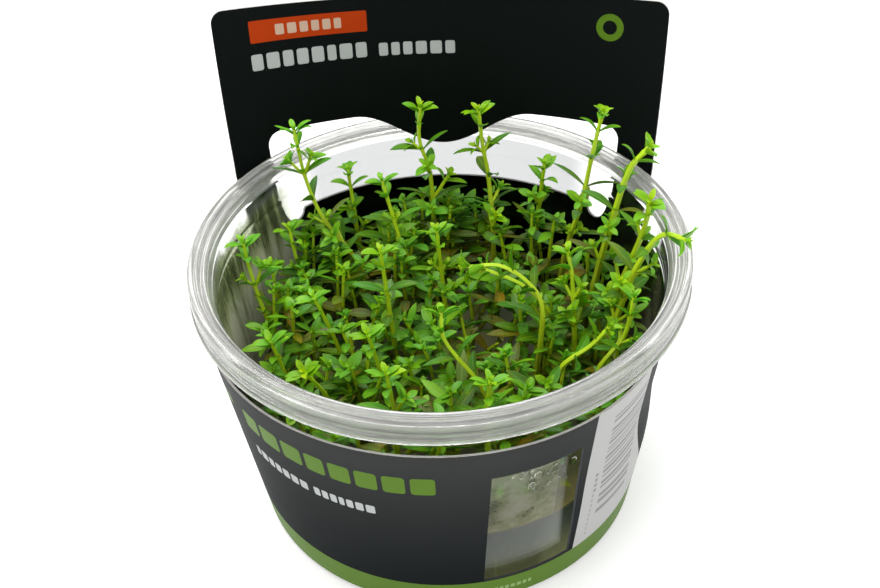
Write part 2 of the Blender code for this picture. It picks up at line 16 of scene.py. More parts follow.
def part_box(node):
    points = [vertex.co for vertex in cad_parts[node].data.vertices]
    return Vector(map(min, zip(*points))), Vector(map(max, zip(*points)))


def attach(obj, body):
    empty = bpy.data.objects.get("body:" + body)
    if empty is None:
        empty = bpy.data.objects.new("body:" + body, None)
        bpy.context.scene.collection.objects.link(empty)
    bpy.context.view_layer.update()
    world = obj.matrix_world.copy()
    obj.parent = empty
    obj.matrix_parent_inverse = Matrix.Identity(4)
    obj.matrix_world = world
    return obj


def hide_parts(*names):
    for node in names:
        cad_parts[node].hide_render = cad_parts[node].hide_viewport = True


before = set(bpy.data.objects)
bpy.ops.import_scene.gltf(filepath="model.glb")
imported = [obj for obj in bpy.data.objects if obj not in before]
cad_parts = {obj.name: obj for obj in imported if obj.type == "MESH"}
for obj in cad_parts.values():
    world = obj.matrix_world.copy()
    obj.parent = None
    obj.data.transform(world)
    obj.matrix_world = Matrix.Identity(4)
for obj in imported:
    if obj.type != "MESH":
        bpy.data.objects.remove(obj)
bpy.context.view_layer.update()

MM = 0.001

# Camera: fitted to the rim, the sleeve's edges and the header in the photograph.
PHOTO_WIDTH = 880
FOCAL_PIXELS = 1200.0
SENSOR_WIDTH = 36.0
CAMERA_PITCH = 39.69
CAMERA_YAW = -0.07
CAMERA_ROLL = 2.63
CAMERA_DISTANCE = 190.8
CAMERA_HEIGHT = 207.0
CUP_TURN = 3.01

# Cup
CUP_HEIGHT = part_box("cup")[1].z / MM
CUP_SEGMENTS = 192
CUP_FLOOR = 1.2
CUP_WALL = 0.8
FOOT_FLAT_RADIUS = 38.8
WALL_FOOT_RADIUS = 41.0
WALL_FOOT_Z = 2.2
WALL_DRAFT = 0.0935
WALL_LOW_Z = 5.0
WALL_HIGH_Z = 55.0
WALL_RIDGE_Z = 53.0
WALL_RIDGE = 0.3
RIM_LIP_RADIUS = 50.3
RIM_NECK_RADIUS = 49.8
RIM_SKIRT_THICKNESS = 0.9
RIM_DEPTH = 5.3
RIM_TOP_THICKNESS = 1.6
RIM_CROWN_INNER = 48.4
RIM_MOUTH_RADIUS = 46.3
RIM_MOUTH_DEPTH = 2.2
RIM_ROUNDING = 0.35
CLEAR_SLOT, DAMP_SLOT, RIM_SLOT = 0, 1, 2

# Steps of the rim's profile: from the neck at the lip's height, and from the crown and the mouth
# at the cup's full height
NECK_STEPS = ((0.0, 1.5), (0.0, 2.1), (0.25, 2.45), (0.0, 2.8))
CROWN_STEPS = ((0.5, 0.0), (0.2, -0.4), (-0.1, -0.05), (-0.5, -0.15), (-0.8, -0.8))
MOUTH_STEPS = ((0.9, -0.85), (0.5, -0.6), (0.1, -1.0))

# Painted rings of the rim: the share of the way over it from its mouth to its lip, and the brightness painted
# there, which stands for the highlights on its ridges and the shade in its grooves
RIM_WAY = 9.5
RIM_PAINTED_RINGS = ((0.0, 0.62), (0.10, 0.80), (0.20, 0.66), (0.25, 1.0), (0.30, 0.86), (0.36, 0.48), (0.43, 1.0),
             (0.50, 0.80), (0.60, 0.66), (0.74, 0.72), (0.82, 0.80), (0.87, 1.0), (0.92, 0.78), (1.0, 0.72))

# Gel, and the droplets above it; the window's beads have a least, a greatest and a usual place
TOUCH_GAP = 0.3
GEL_TOP = 22.2
GEL_CREEP = 0.7
DROPLET_COUNT = 190
DROPLET_SMALL = 0.22
DROPLET_LARGE = 0.95
DROPLET_HEIGHT = 0.55
DROPLET_RINGS = 5
DROPLET_SIDES = 12
DROPLET_WALL_RADIUS = 44.0
WINDOW_DROPLETS = 110
WINDOW_BEADS = 46
BEAD_AZIMUTHS = (17.0, 33.0, 29.0)
BEAD_HEIGHTS = (33.0, 43.5, 42.5)
BEAD_RADII = (0.32, 0.85)

# Card sleeve: measured in the unrolled card, u along it from the middle of the header. Azimuths
# and turns are directions seen from above, in degrees from the front towards +X.
CARD_THICKNESS = 0.5
BAND_BOTTOM = 1.4
BAND_BOTTOM_RADIUS = 41.8
BAND_FLARE = 0.1277
BAND_REFERENCE_RADIUS = 48.25
BAND_TOP_MEAN = 48.95
BAND_TOP_RISE = 2.95
SIDE_PINCH = 1.5
PINCH_AZIMUTH = 76.0
PINCH_FROM = 18.0
PINCH_SPAN = 18.0
HEADER_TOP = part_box("card_sleeve")[1].z / MM
HEADER_HALF_WIDTH = 48.4
HEADER_CORNER = 2.7
HEADER_APEX_Y = 43.0
HEADER_LEAN = 0.05
HEADER_BEND_LOW = 87.0
HEADER_BEND_HIGH = 208.0
HEADER_BEND_SPAN = 35.0
STRIP_START_Z = 45.0
STRIP_BLEND_HEIGHT = 10.5
NOTCH_RADIUS = 2.3
NOTCH_CENTRE = (52.7, 48.9)
HOLE_TOP = 66.4
HOLE_HALF_WIDTH = 39.9
HOLE_CORNER = 3.0
HOLE_FLOOR = 46.4
LEG_CENTRE = (38.9, 46.7)
LEG_RADIUS = 2.5
TONGUE_TIP = 58.4
TONGUE_HALF_WIDTH = 20.0
WINDOW_AZIMUTH = 23.6
WINDOW_WIDTH = 18.8
WINDOW_LOW = 8.7
WINDOW_HIGH = 44.0
SEAM_U = 70.0
SEAM_FAR_U = SEAM_U - math.tau * BAND_REFERENCE_RADIUS
SEAM_WELD = 0.02
BAND_STRIP_TOP = 8.4
PANEL_START = 37.9
PANEL_TURN = 60.3
PANEL_TURN_LOW = 76.0
PANEL_SHOULDER = 40.0
PANEL_STEPS = 14

# Plain row of bars: the thickness of each and the gap after it
BAR_CODE = ((1.3, 1.7), (1.2, 0.7), (1.0, 1.5), (0.6, 0.5), (0.9, 1.0), (0.5, 0.6), (0.9, 0.5), (0.5, 0.9),
            (0.5, 0.5), (1.0, 0.8), (0.4, 0.5), (0.5, 0.9), (0.9, 0.5), (0.4, 0.6), (0.5, 0.5), (0.9, 1.4),
            (0.8, 0.5), (0.5, 0.5))
BAR_STRETCH = 1.13
BAR_TURNS = (44.4, 58.2)
BAR_START = 16.4
CARD_STEP = 2.4
ROW_SHARE = 0.87

# Lines of print: ink, start, way along the card, foot, height, blocks, their width, gap and
# unevenness. A line starts at a place u on the header, and at a turn on the band.
HEADER_ROWS = (("pale orange", -35.2, 1, 87.6, 2.3, 6, 1.75, 0.7, 0.15),
               ("white", -41.0, 1, 80.5, 3.5, 8, 2.25, 0.75, 0.25),
               ("white", -13.4, 1, 80.5, 3.0, 6, 2.3, 0.75, 0.25))
BAND_ROWS = (("white", -51.6, -1, 32.2, 2.5, 7, 1.7, 0.55, 0.25),
             ("white", -31.0, -1, 32.2, 2.5, 7, 1.55, 0.5, 0.25),
             ("pale green", 3.0, -1, 4.0, 1.2, 14, 0.9, 0.45, 0.25))
TITLE_ROW = (("green", -52.0, -1, 40.3, 5.0, 8, 4.75, 1.0, 0.12),)
TITLE_BLOCK_TURNS, TITLE_BLOCK_HEIGHTS = (-63.0, -58.5), (41.4, 44.2)
HEADER_BAR = (-40.7, -15.6, 86.4, 91.1, 0.3)
RING_CENTRE = (36.3, 87.8)
TICKS, TICK_START, TICK_PITCH, TICK_HEIGHT = 13, 11.0, 1.6, 0.9
TICK_TURNS = (41.6, 42.0)

# Card and inks: material, colour, gloss, roughness, unevenness and a painted sheen colour at the band's top,
# each left at its usual value where it isn't given
INKS = {
    # The charcoal band lightens towards its top as painted sheen, the floor's reflection painted into its
    # colour
    "card": ("charcoal card", (0.004, 0.0062, 0.0075), 0.02, 0.5, 0.12, (0.038, 0.040, 0.039)),
    "header": ("black card", (0.003, 0.0048, 0.0042), 0.06, 0.55),
    "edge": ("cut card edge", (0.50, 0.49, 0.46), 0.2, 0.8),
    # The cut edge at the card's foot and round the window: the pale edge's colour darkened as painted shade
    "painted shade edge": ("cut card edge with painted shade", (0.07, 0.075, 0.08), 0.2, 0.7),
    "green": ("green ink", (0.085, 0.175, 0.010), 0.08),
    "pale green": ("pale green ink", (0.24, 0.38, 0.14), 0.08),
    "white": ("white ink", (0.42, 0.44, 0.43), 0.08),
    "panel": ("pale panel", (0.44, 0.44, 0.43), 0.1, 0.42, 0.04),
    "bar ink": ("bar ink", (0.23, 0.23, 0.23), 0.1),
    "orange": ("orange ink", (0.42, 0.040, 0.003), 0.06),
    "pale orange": ("pale orange ink", (0.55, 0.38, 0.28), 0.06),
}

# Shoots: as in the part's source, where each has its root (x, y), then points up its stem.
STEM_FOOT = GEL_TOP + TOUCH_GAP
UNDERGROWTH_TOP = 38.6
UNDERGROWTH_LUMP = 3.5
TUFT_X = 3.6
TUFT_Y = 4.1
TUFT_SLANT = 6.5
UNDERGROWTH_EDGE_DROP = 3.0
UNDERGROWTH_RADIUS = 40.8
STEM_RADIUS = 0.64
STEM_TIP_RADIUS = 0.36
STOUT_STEMS = {"shoot_spear": 1.3, "shoot_over_rim": 1.25, "shoot_right": 1.2, "shoot_front_right": 1.1}
BARE_STEMS = ("shoot_arch", "shoot_low_arch", "shoot_front_diagonal", "shoot_front_right")
STEM_STEPS = 10
LEAF_ABOVE_UNDERGROWTH = 1.0
FIRST_NODE = 1.6
INTERNODE = 6.2
TIP_INTERNODE = 2.9
NODE_HEIGHT = 0.9
LEAF_LENGTH = 8.6
TIP_LEAF_LENGTH = 4.6
SHORTEST_LEAF = 2.4
LEAF_TO_LEAF = 2.1
LEAF_TO_STEM = 2.5
LEAF_TO_WALL = 1.0
LEAF_TO_CARD = 1.4
NEAR_ENOUGH = 45.0
TWISTS_TRIED = 8
LENGTH_STEP = 0.6
SHOOTS = {
    "shoot_back_left": ((-14, 18), (-19.5, 20.5, 41), (-26.5, 22, 53), (-29.5, 24, 62), (-31, 26, 73)),
    "shoot_back_mid_left": ((-2, 28), (-2.5, 31, 41), (-3, 32.5, 57), (-5, 33.5, 65), (-4.5, 34, 73)),
    "shoot_back_mid_right": ((11, 25), (11, 28, 41), (10, 32.8, 56), (9, 33.5, 62), (8, 34, 72)),
    "shoot_back_right": ((24, 19), (27, 22, 42), (30.3, 22.7, 56), (32, 25, 65), (34, 27, 75)),
    "shoot_spear": ((30, 11), (33.2, 12.6, 43), (36, 14, 57), (39, 15, 69), (42.5, 15, 74)),
    "shoot_right": ((34, 4.5), (37, 6, 43), (39.5, 6.5, 52), (41.5, 6.3, 60), (42, 5, 68)),
    "shoot_over_rim": ((32, -3), (36, -2.5, 43), (38.8, -1.5, 54), (42, -2, 62.5), (44.5, -3.5, 66),
                       (48, -5, 65.5)),
    "shoot_left": ((-34, 1), (-37, 1, 40), (-39, 3, 48), (-40.2, 4.5, 54), (-40.6, 5, 59)),
    "shoot_left_whorl": ((-19, -4), (-22.5, -4, 40), (-25.6, -5, 52.5)),
    "shoot_front_left": ((-20, -17), (-22.6, -21, 40), (-25.5, -25, 50.5)),
    "shoot_arch": ((19, -6), (20.5, -5, 40), (20, -1.5, 49), (13, 2, 54), (5, 4, 52.5)),
    "shoot_low_arch": ((24, 1.5), (22.5, 2.5, 41), (17, 4.5, 47), (9, 7, 49.5)),
    "shoot_front_diagonal": ((13, -19), (8, -18.4, 40), (1, -15.5, 50), (0.5, -13, 55)),
    "shoot_mid_right": ((28, -5), (27.6, -2.5, 40), (27, 1, 51), (26, 3.5, 57)),
    "shoot_front_right": ((18, -13), (24.5, -13, 40), (30, -13.4, 46), (33.5, -13.5, 51)),
    "shoot_right_front": ((28, -15), (32, -13.5, 40), (36.7, -11.5, 47), (38.4, -9, 55)),
    "shoot_mid_left": ((-10, 1), (-11, 1, 42), (-12, 1.5, 59)),
    "shoot_back_centre": ((-8, 19), (-9, 21, 42), (-10.5, 22, 50), (-13, 24, 61)),
    "shoot_back_edge_left": ((-20, 30), (-20.5, 32, 42), (-21.5, 34, 57)),
    "shoot_left_back": ((-30, 13), (-32, 16, 42), (-33.4, 18, 53)),
    "shoot_front": ((-8, -27), (-8.5, -28, 42), (-9.5, -28, 53)),
    "shoot_front_mid_left": ((-11, -13), (-12.5, -14, 41), (-14, -15, 51)),
    "shoot_front_mid_right": ((9, -29), (9, -30, 42), (10, -30, 52.5)),
    "shoot_centre": ((1, 9), (0, 10, 42), (-1, 11, 57)),
    "shoot_back_edge_right": ((20, 31), (21, 32.5, 42), (22.5, 33.5, 58)),
    "shoot_left_front": ((-30, -13), (-32, -14, 41), (-33.5, -14.5, 49)),
}

# Foliage that only the looks have
LEAF_SLOT, STEM_SLOT = 0, 1
LEAF_THICKNESS = 0.24
LEAF_BREADTH = 1.45
LEAF_BROADENING = 0.10
YOUNG_LEAVES = (1.0, 0.75, 0.86)
SMALL_SHOOT_SPACING = 6.3
SMALL_SHOOT_RADIUS = 38.5
SMALL_SHOOT_JITTER = 2.2
SMALL_SHOOT_STEPS = 8
SMALL_STEM_RADIUS = 0.55
SMALL_STEM_TAPER = 0.028

# Small shoots: their pairs of leaves by distance from the tip and length, clearings by x, y and
# radius, and sprigs beside the wall by number, azimuths and tops
SMALL_SHOOT_LEAVES = ((1.0, 4.2), (3.6, 7.0), (7.2, 8.8), (11.2, 9.2), (15.6, 9.2))
OLD_SHOOT_HEIGHTS = (4.5, 8.0)
SMALL_SHOOT_TOPS = (-4.5, 2.5)
TALLER_SHOOTS = 46
TALLER_SHOOT_TOPS = (40.0, 44.5)
FRONT_DROP = 5.5
FRONT_DROP_FROM = -19.0
FRONT_DROP_SPAN = 10.0
LUSH_BELOW = 54.0
GAPS = ((9.5, 5.5, 6.5), (-23.0, 15.5, 4.5), (1.5, -18.0, 4.0), (33.0, 12.0, 4.5), (-17.0, -19.0, 3.5))
WALL_SPRIG_PLACES = (27.0, 38.0)
WALL_SPRIGS = ((22, (130.0, 232.0), (43.0, 50.0)), (12, (-125.0, -70.0), (42.0, 49.0)))

# Damp on the inside of the wall: heights, and azimuths in degrees from the front towards +X
FOG_TOP = 47.0
FOG_LEFT_RISE = 11.0
FOG_FROM = -128.0
FOG_TO = 31.5
LEFT_FROM, LEFT_TO = -55.0, -78.0
LEFT_THINS_FROM, LEFT_THINS_TO = 40.0, 54.0
# Rear wall above the card, by azimuth and height: its grey tint is painted shade
REAR_FROM, REAR_TO = 125.0, 142.0
REAR_LOW, REAR_HIGH = 44.0, 46.0
# Azimuths over which the gel's painted light rises to twice its strength
PAINTED_LIGHT_FROM, PAINTED_LIGHT_TO = 26.5, 31.5
CLEAR_COLOUR = (0.93, 0.94, 0.935)
# Grey tint of the rear wall above the card: painted shade
REAR_PAINTED_SHADE_COLOUR = (0.24, 0.243, 0.247)

# Studio: each light's name, place, aim, size in metres and brightness
LIGHTS = (("overhead", (-0.06, 0.08, 0.50), (0, 0, 0.05), 0.42, 4.6),
          ("front left", (-0.45, -0.45, 0.40), (0, 0, 0.04), 0.35, 2.0),
          ("front right", (0.50, -0.30, 0.30), (0, 0, 0.05), 0.25, 1.5))
WORLD_BRIGHTNESS = 0.62
FLOOR_REACH = 3000.0
FLOOR_DROP = 0.05

random.seed(11)


# Mesh helpers

class Surface:
    """Points in mm, faces, a material number for each face, and UV and age for each point."""

    def __init__(self):
        self.points, self.uvs, self.ages = [], [], []
        self.faces, self.slots = [], []
        self.count = 0

    def add(self, points, faces, slots=(0,), uv=None, age=0.0):
        """Add points and faces; the material numbers in slots are repeated over the faces."""
        points = np.asarray(points, float).reshape(-1, 3)
        self.points.append(points)
        self.uvs.append(np.zeros((len(points), 2)) if uv is None else np.asarray(uv, float))
        self.ages.append(np.broadcast_to(np.asarray(age, float), len(points)))
        self.faces += [tuple(int(index) + self.count for index in face) for face in faces]
        self.slots += np.resize(slots, len(faces)).tolist()
        self.count += len(points)

    def build(self, name, materials, sharp_degrees=50.0):
        mesh = bpy.data.meshes.new(name)
        points = np.concatenate(self.points)
        mesh.from_pydata((points * MM).tolist(), [], self.faces)
        mesh.polygons.foreach_set("material_index", self.slots)
        corners = np.zeros(len(mesh.loops), np.int32)
        mesh.loops.foreach_get("vertex_index", corners)
        layer = mesh.uv_layers.new(name="surface")
        layer.data.foreach_set("uv", np.concatenate(self.uvs)[corners].astype(np.float32).ravel())
        ages = mesh.attributes.new("age", "FLOAT", "POINT")
        ages.data.foreach_set("value", np.concatenate(self.ages).astype(np.float32))
        for material in materials:
            mesh.materials.append(material)
        mesh.shade_smooth()
        mesh.set_sharp_from_angle(angle=math.radians(sharp_degrees))
        made = bpy.data.objects.new(name, mesh)
        bpy.context.scene.collection.objects.link(made)
        return made


def ring_faces(rings, sides):
    """Faces of rings of points in a row, closed by a fan at each end.

    The points are those of the rings, then the middle of the first fan and that of the last.
    """
    faces = []
    first, last, top = rings * sides, rings * sides + 1, (rings - 1) * sides
    for step in range(sides):
        after = (step + 1) % sides
        faces.append((first, after, step))
        for low in range(0, top, sides):
            high = low + sides
            faces.append((low + step, low + after, high + after, high + step))
        faces.append((last, top + step, top + after))
    return faces


def turned_surface(profile, segments, slots=(0,)):
    """Spin a profile of (radius, z) that starts and ends on the axis.

    slots gives the material's number of each stretch of the profile.
    """
    turns = np.arange(segments) * math.tau / segments
    circle = np.stack([np.cos(turns), np.sin(turns)], 1)
    middle = profile[1:-1]
    rings = [np.column_stack([circle * radius, np.full(segments, z)]) for radius, z in middle]
    points = np.concatenate(rings + [[[0, 0, profile[0][1]], [0, 0, profile[-1][1]]]])
    surface = Surface()
    surface.add(points, ring_faces(len(middle), segments), slots)
    return surface


def polar(radius, angle):
    return radius * math.cos(angle), radius * math.sin(angle)


def stepped(origin, steps):
    """The points that lie a step away from an origin, one for each step."""
    return [(origin[0] + across, origin[1] + up) for across, up in steps]


def rounded(profile, radius, steps=4):
    """Round a profile's corners: each becomes a short curve no longer than its sides allow."""
    out = [profile[0]]
    for before, corner, after in zip(profile, profile[1:], profile[2:]):
        before, corner, after = Vector(before), Vector(corner), Vector(after)
        back = min(radius, (before - corner).length * 0.45)
        on = min(radius, (after - corner).length * 0.45)
        start = corner + (before - corner).normalized() * back
        end = corner + (after - corner).normalized() * on
        for step in range(steps + 1):
            t = step / steps
            out.append(tuple((1 - t) ** 2 * start + 2 * t * (1 - t) * corner + t ** 2 * end))
    out.append(profile[-1])
    return out


# Materials

class Field:
    """A number or colour that varies over a surface; sums and products of fields become nodes."""

    def __init__(self, look, socket):
        self.look = look
        self.socket = socket

    def __add__(self, other):
        return self.look.maths("ADD", self, other)

    def __sub__(self, other):
        return self.look.maths("SUBTRACT", self, other)

    def __rsub__(self, other):
        return self.look.maths("SUBTRACT", other, self)

    def __mul__(self, other):
        return self.look.maths("MULTIPLY", self, other)

    def __truediv__(self, other):
        return self.look.maths("DIVIDE", self, other)


class Look:
    """A Principled material: plain values on its sockets, and the fields that drive the others."""

    def __init__(self, name, values):
        self.material = bpy.data.materials.new(name)
        self.material.use_nodes = True
        self.shader = self.material.node_tree.nodes["Principled BSDF"]
        self.drive(values)

    def drive(self, inputs, node=None):
        """Give sockets of the shader, or of another node, a plain value or a field."""
        node = node or self.shader
        for name, value in inputs.items():
            socket = node.inputs[name]
            if isinstance(value, Field):
                self.material.node_tree.links.new(value.socket, socket)
            elif socket.type == "RGBA":
                socket.default_value = (*value, 1.0)
            else:
                socket.default_value = value

    def node(self, kind, inputs, output=0, **settings):
        made = self.material.node_tree.nodes.new("ShaderNode" + kind)
        for setting, value in settings.items():
            setattr(made, setting, value)
        self.drive(inputs, made)
        return Field(self, made.outputs[output])

    def maths(self, operation, first, second=0.0):
        return self.node("Math", {0: first, 1: second}, operation=operation)

    def vector(self, x, y, z=0.0):
        return self.node("CombineXYZ", {"X": x, "Y": y, "Z": z})

    def parts(self, vector):
        outputs = self.node("SeparateXYZ", {"Vector": vector}).socket.node.outputs
        return [Field(self, output) for output in outputs]

    def own_place(self):
        """The point in the object's own metres."""
        return self.node("TexCoord", {}, "Object")

    def place_in_mm(self):
        """X, Y and Z of the point in millimetres, and its azimuth in degrees from the front."""
        x, y, z = (part / MM for part in self.parts(self.own_place()))
        return x, y, z, self.maths("DEGREES", self.maths("ARCTAN2", x, y * -1.0))

    def noise(self, scale, detail=3.0, roughness=0.5, place=None, stretch=None, distortion=0.0):
        place = place or self.own_place()
        if stretch:
            place = self.node("Mapping", {"Vector": place, "Scale": stretch})
        return self.node("TexNoise", {"Vector": place, "Scale": scale, "Detail": detail,
                                      "Roughness": roughness, "Distortion": distortion}, "Fac")

    def ramp(self, factor, stops):
        """A colour ramp through (position, (r, g, b)) stops."""
        made = self.node("ValToRGB", {"Fac": factor})
        elements = made.socket.node.color_ramp.elements
        while len(elements) < len(stops):
            elements.new(0.5)
        for element, (position, colour) in zip(elements, stops):
            element.position = position
            element.color = (*colour, 1.0)
        return made

    def fade(self, value, start, end, low=0.0, high=1.0, kind="SMOOTHSTEP"):
        """Goes from low to high as a value goes from start to end, and stays there."""
        return self.node("MapRange", {"Value": value, "From Min": start, "From Max": end,
                                      "To Min": low, "To Max": high}, interpolation_type=kind)

    def mix(self, factor, first, second, blend="MIX"):
        return self.node("Mix", {"Factor": factor, 6: first, 7: second}, 2,
                         data_type="RGBA", blend_type=blend)

    def mix_numbers(self, factor, first, second):
        return self.node("Mix", {"Factor": factor, 2: first, 3: second}, data_type="FLOAT")

    def multiply(self, colour, shade):
        return self.mix(1.0, colour, shade, "MULTIPLY")

    def bump(self, height, strength, distance):
        self.drive({"Normal": self.node("Bump", {
            "Height": height, "Strength": strength, "Distance": distance})})


def clear_plastic():
    look = Look("clear plastic", {
        "Base Color": CLEAR_COLOUR, "Roughness": 0.05, "Transmission Weight": 1.0, "IOR": 1.25})
    look.bump(look.noise(60.0, 1.0), 0.05, 0.0003)
    return look.material


def rim_plastic():
    """The moulded rim: clear plastic with light and dark rings painted into its colour, as painted highlights
    on its ridges and painted shade in its grooves.

    The rings follow the way over the rim, from its mouth out to the crown and down the skirt.
    """
    look = Look("moulded rim", {"Transmission Weight": 0.8, "IOR": 1.42, "Specular IOR Level": 0.8})
    x, y, z, azimuth = look.place_in_mm()
    radius = look.node("VectorMath", {0: look.vector(x, y)}, "Value", operation="LENGTH")
    way = radius - (RIM_MOUTH_RADIUS - CUP_HEIGHT) - z
    streaks = look.noise(1.0, 4.0, 0.65, look.vector(azimuth * 0.09, way * 2.0))
    share = way / RIM_WAY + (streaks * 0.03 - 0.015)
    # Painted highlights and painted shade: the rings' brightness along the way over the rim
    rings = look.ramp(share, [(place, (grey, grey, grey * 0.97)) for place, grey in RIM_PAINTED_RINGS])
    shade = look.mix(look.fade(streaks, 0.34, 0.66), (0.85,) * 3, (1.17,) * 3)
    look.drive({"Base Color": look.multiply(rings, shade), "Roughness": streaks * 0.14 + 0.05})
    look.bump(streaks, 0.10, 0.0003)
    return look.material


def damp_plastic():
    """The inside of the wall: clear, with damp above the gel that runs down in streaks.

    The damp is in patches on the front, and in streaks on the left that end higher up. The dry wall at the
    rear is tinted grey above the card as painted shade, which dims the lit floor seen through it.
    """
    look = Look("damp plastic", {"IOR": 1.2})
    _, _, z, azimuth = look.place_in_mm()
    left = look.fade(azimuth, LEFT_FROM, LEFT_TO)
    top = left * FOG_LEFT_RISE + FOG_TOP
    streaks = look.noise(1.0, 3.0, 0.6, look.vector(azimuth * 0.42, z * 0.06))
    patches = look.noise(170.0, 4.0, 0.6)
    front_damp = look.noise(900.0, 2.0) * 0.22 + (patches * 1.3 - 0.26)
    left_damp = streaks * 1.5 + look.fade(z, LEFT_THINS_FROM, LEFT_THINS_TO, 0.02, -0.58)
    damp = look.mix_numbers(left, front_damp, left_damp)
    ragged_height = z + (patches * 7.0 - 3.5)
    over_gel = 1.0 - look.fade(ragged_height, top - 2.5, top + 1.5)
    around = (look.fade(azimuth, FOG_FROM - 6.0, FOG_FROM + 4.0)
              * look.fade(azimuth, FOG_TO + 0.8, FOG_TO - 0.8))
    fog = over_gel * around
    front_colour = look.ramp(damp, (
        (0.30, (0.13, 0.18, 0.03)), (0.42, (0.36, 0.40, 0.17)), (0.56, (0.60, 0.61, 0.40)),
        (0.75, (0.74, 0.74, 0.60))))
    left_colour = look.ramp(damp, (
        (0.18, (0.22, 0.26, 0.13)), (0.42, (0.46, 0.51, 0.26)), (0.60, (0.68, 0.71, 0.44)),
        (0.78, (0.95, 0.95, 0.76))))
    fog_colour = look.mix(left, front_colour, left_colour)
    # Painted shade: the rear wall above the card is tinted grey to dim the lit floor seen through it
    rear = (look.fade(look.maths("ABSOLUTE", azimuth), REAR_FROM, REAR_TO)
            * look.fade(z, REAR_LOW, REAR_HIGH))
    dry_colour_and_painted_shade = look.mix(rear, CLEAR_COLOUR, REAR_PAINTED_SHADE_COLOUR)
    cloudy = look.mix_numbers(left, 0.68, look.fade(damp, 0.2, 0.75, 0.62, 0.18))
    look.drive({"Base Color": look.mix(fog, dry_colour_and_painted_shade, fog_colour),
                "Transmission Weight": look.mix_numbers(fog, 1.0, cloudy),
                "Roughness": fog * look.fade(damp, 0.3, 0.6, 0.20, 0.38) + 0.05})
    return look.material


def droplet_water():
    look = Look("water", {
        "Base Color": (1, 1, 1), "Roughness": 0.02, "Transmission Weight": 1.0, "IOR": 1.33})
    look.bump(look.noise(400.0, 1.0), 0.05, 0.0002)
    return look.material


def culture_gel():
    """Cloudy grey-green gel, browner towards the bottom and lighter there as painted light, with fine roots
    in it.

    It glows faintly, as a cloudy body lit from above does: this is painted light, an emission twice as strong
    on the +X side from the right of the window round to the rear.
    """
    look = Look("culture gel", {
        "Roughness": 0.3, "Specular IOR Level": 0.25, "Transmission Weight": 0.05, "IOR": 1.34,
        "Emission Strength": 1.0})
    _, _, z, azimuth = look.place_in_mm()
    share = z / GEL_TOP + (look.noise(60.0, 4.0, 0.6, stretch=(1.0, 1.0, 0.4)) * 0.4 - 0.2)
    # Browner towards the bottom as the gel's own colour, and lighter there as painted light against the
    # card's shade low in the window
    colour = look.ramp(share, (
        (0.05, (0.25, 0.23, 0.07)), (0.3, (0.14, 0.145, 0.06)), (0.55, (0.037, 0.048, 0.033)),
        (0.95, (0.031, 0.038, 0.030))))
    colour = look.mix(look.fade(z, GEL_TOP - 0.4, GEL_TOP - 0.1), colour, (0.15, 0.12, 0.03))
    strands = look.noise(0.55, 2.0, place=look.vector(azimuth, z * 0.12), distortion=0.8)
    roots = look.fade(strands, 0.60, 0.66) * look.fade(share, 0.85, 0.55)
    # Painted light: the gel's emission, strongest low down
    painted_emission = look.ramp(share, (
        (0.05, (0.085, 0.082, 0.028)), (0.35, (0.056, 0.060, 0.029)), (0.7, (0.020, 0.024, 0.017)),
        (1.0, (0.011, 0.014, 0.009))))
    # Painted light doubled on the +X side, from the right of the window round
    painted_light_doubling = look.fade(azimuth, PAINTED_LIGHT_FROM, PAINTED_LIGHT_TO, 1.0, 2.0)
    look.drive({"Base Color": look.mix(roots * 0.5, colour, (0.20, 0.24, 0.04)),
                "Emission Color": look.multiply(painted_emission, look.vector(painted_light_doubling, painted_light_doubling, painted_light_doubling))})
    return look.material


def card_material(name, colour, gloss=0.25, roughness=0.42, mottle=0.12, painted_sheen_colour=None):
    """Coated card: a flat ink with a little unevenness and the coating's fine tooth.

    With a painted sheen colour, the ink fades to it from the foot of the band to its top: the floor's
    reflection painted in, lighter higher up.
    """
    look = Look(name, {"Specular IOR Level": gloss})
    # Painted sheen: the band's colour lightens from its foot to its top
    if painted_sheen_colour:
        share = look.fade(look.place_in_mm()[2], BAND_BOTTOM, BAND_TOP_MEAN, kind="LINEAR")
        colour = look.mix(look.maths("POWER", share, 1.7), colour, painted_sheen_colour)
    shade = look.mix(look.noise(70.0, 4.0, 0.55), (1 - mottle,) * 3, (1 + mottle,) * 3)
    tooth = look.noise(2600.0, 2.0)
    look.drive({"Base Color": look.multiply(shade, colour), "Roughness": tooth * 0.12 + (roughness - 0.06)})
    look.bump(tooth, 0.08, 0.00008)
    return look.material


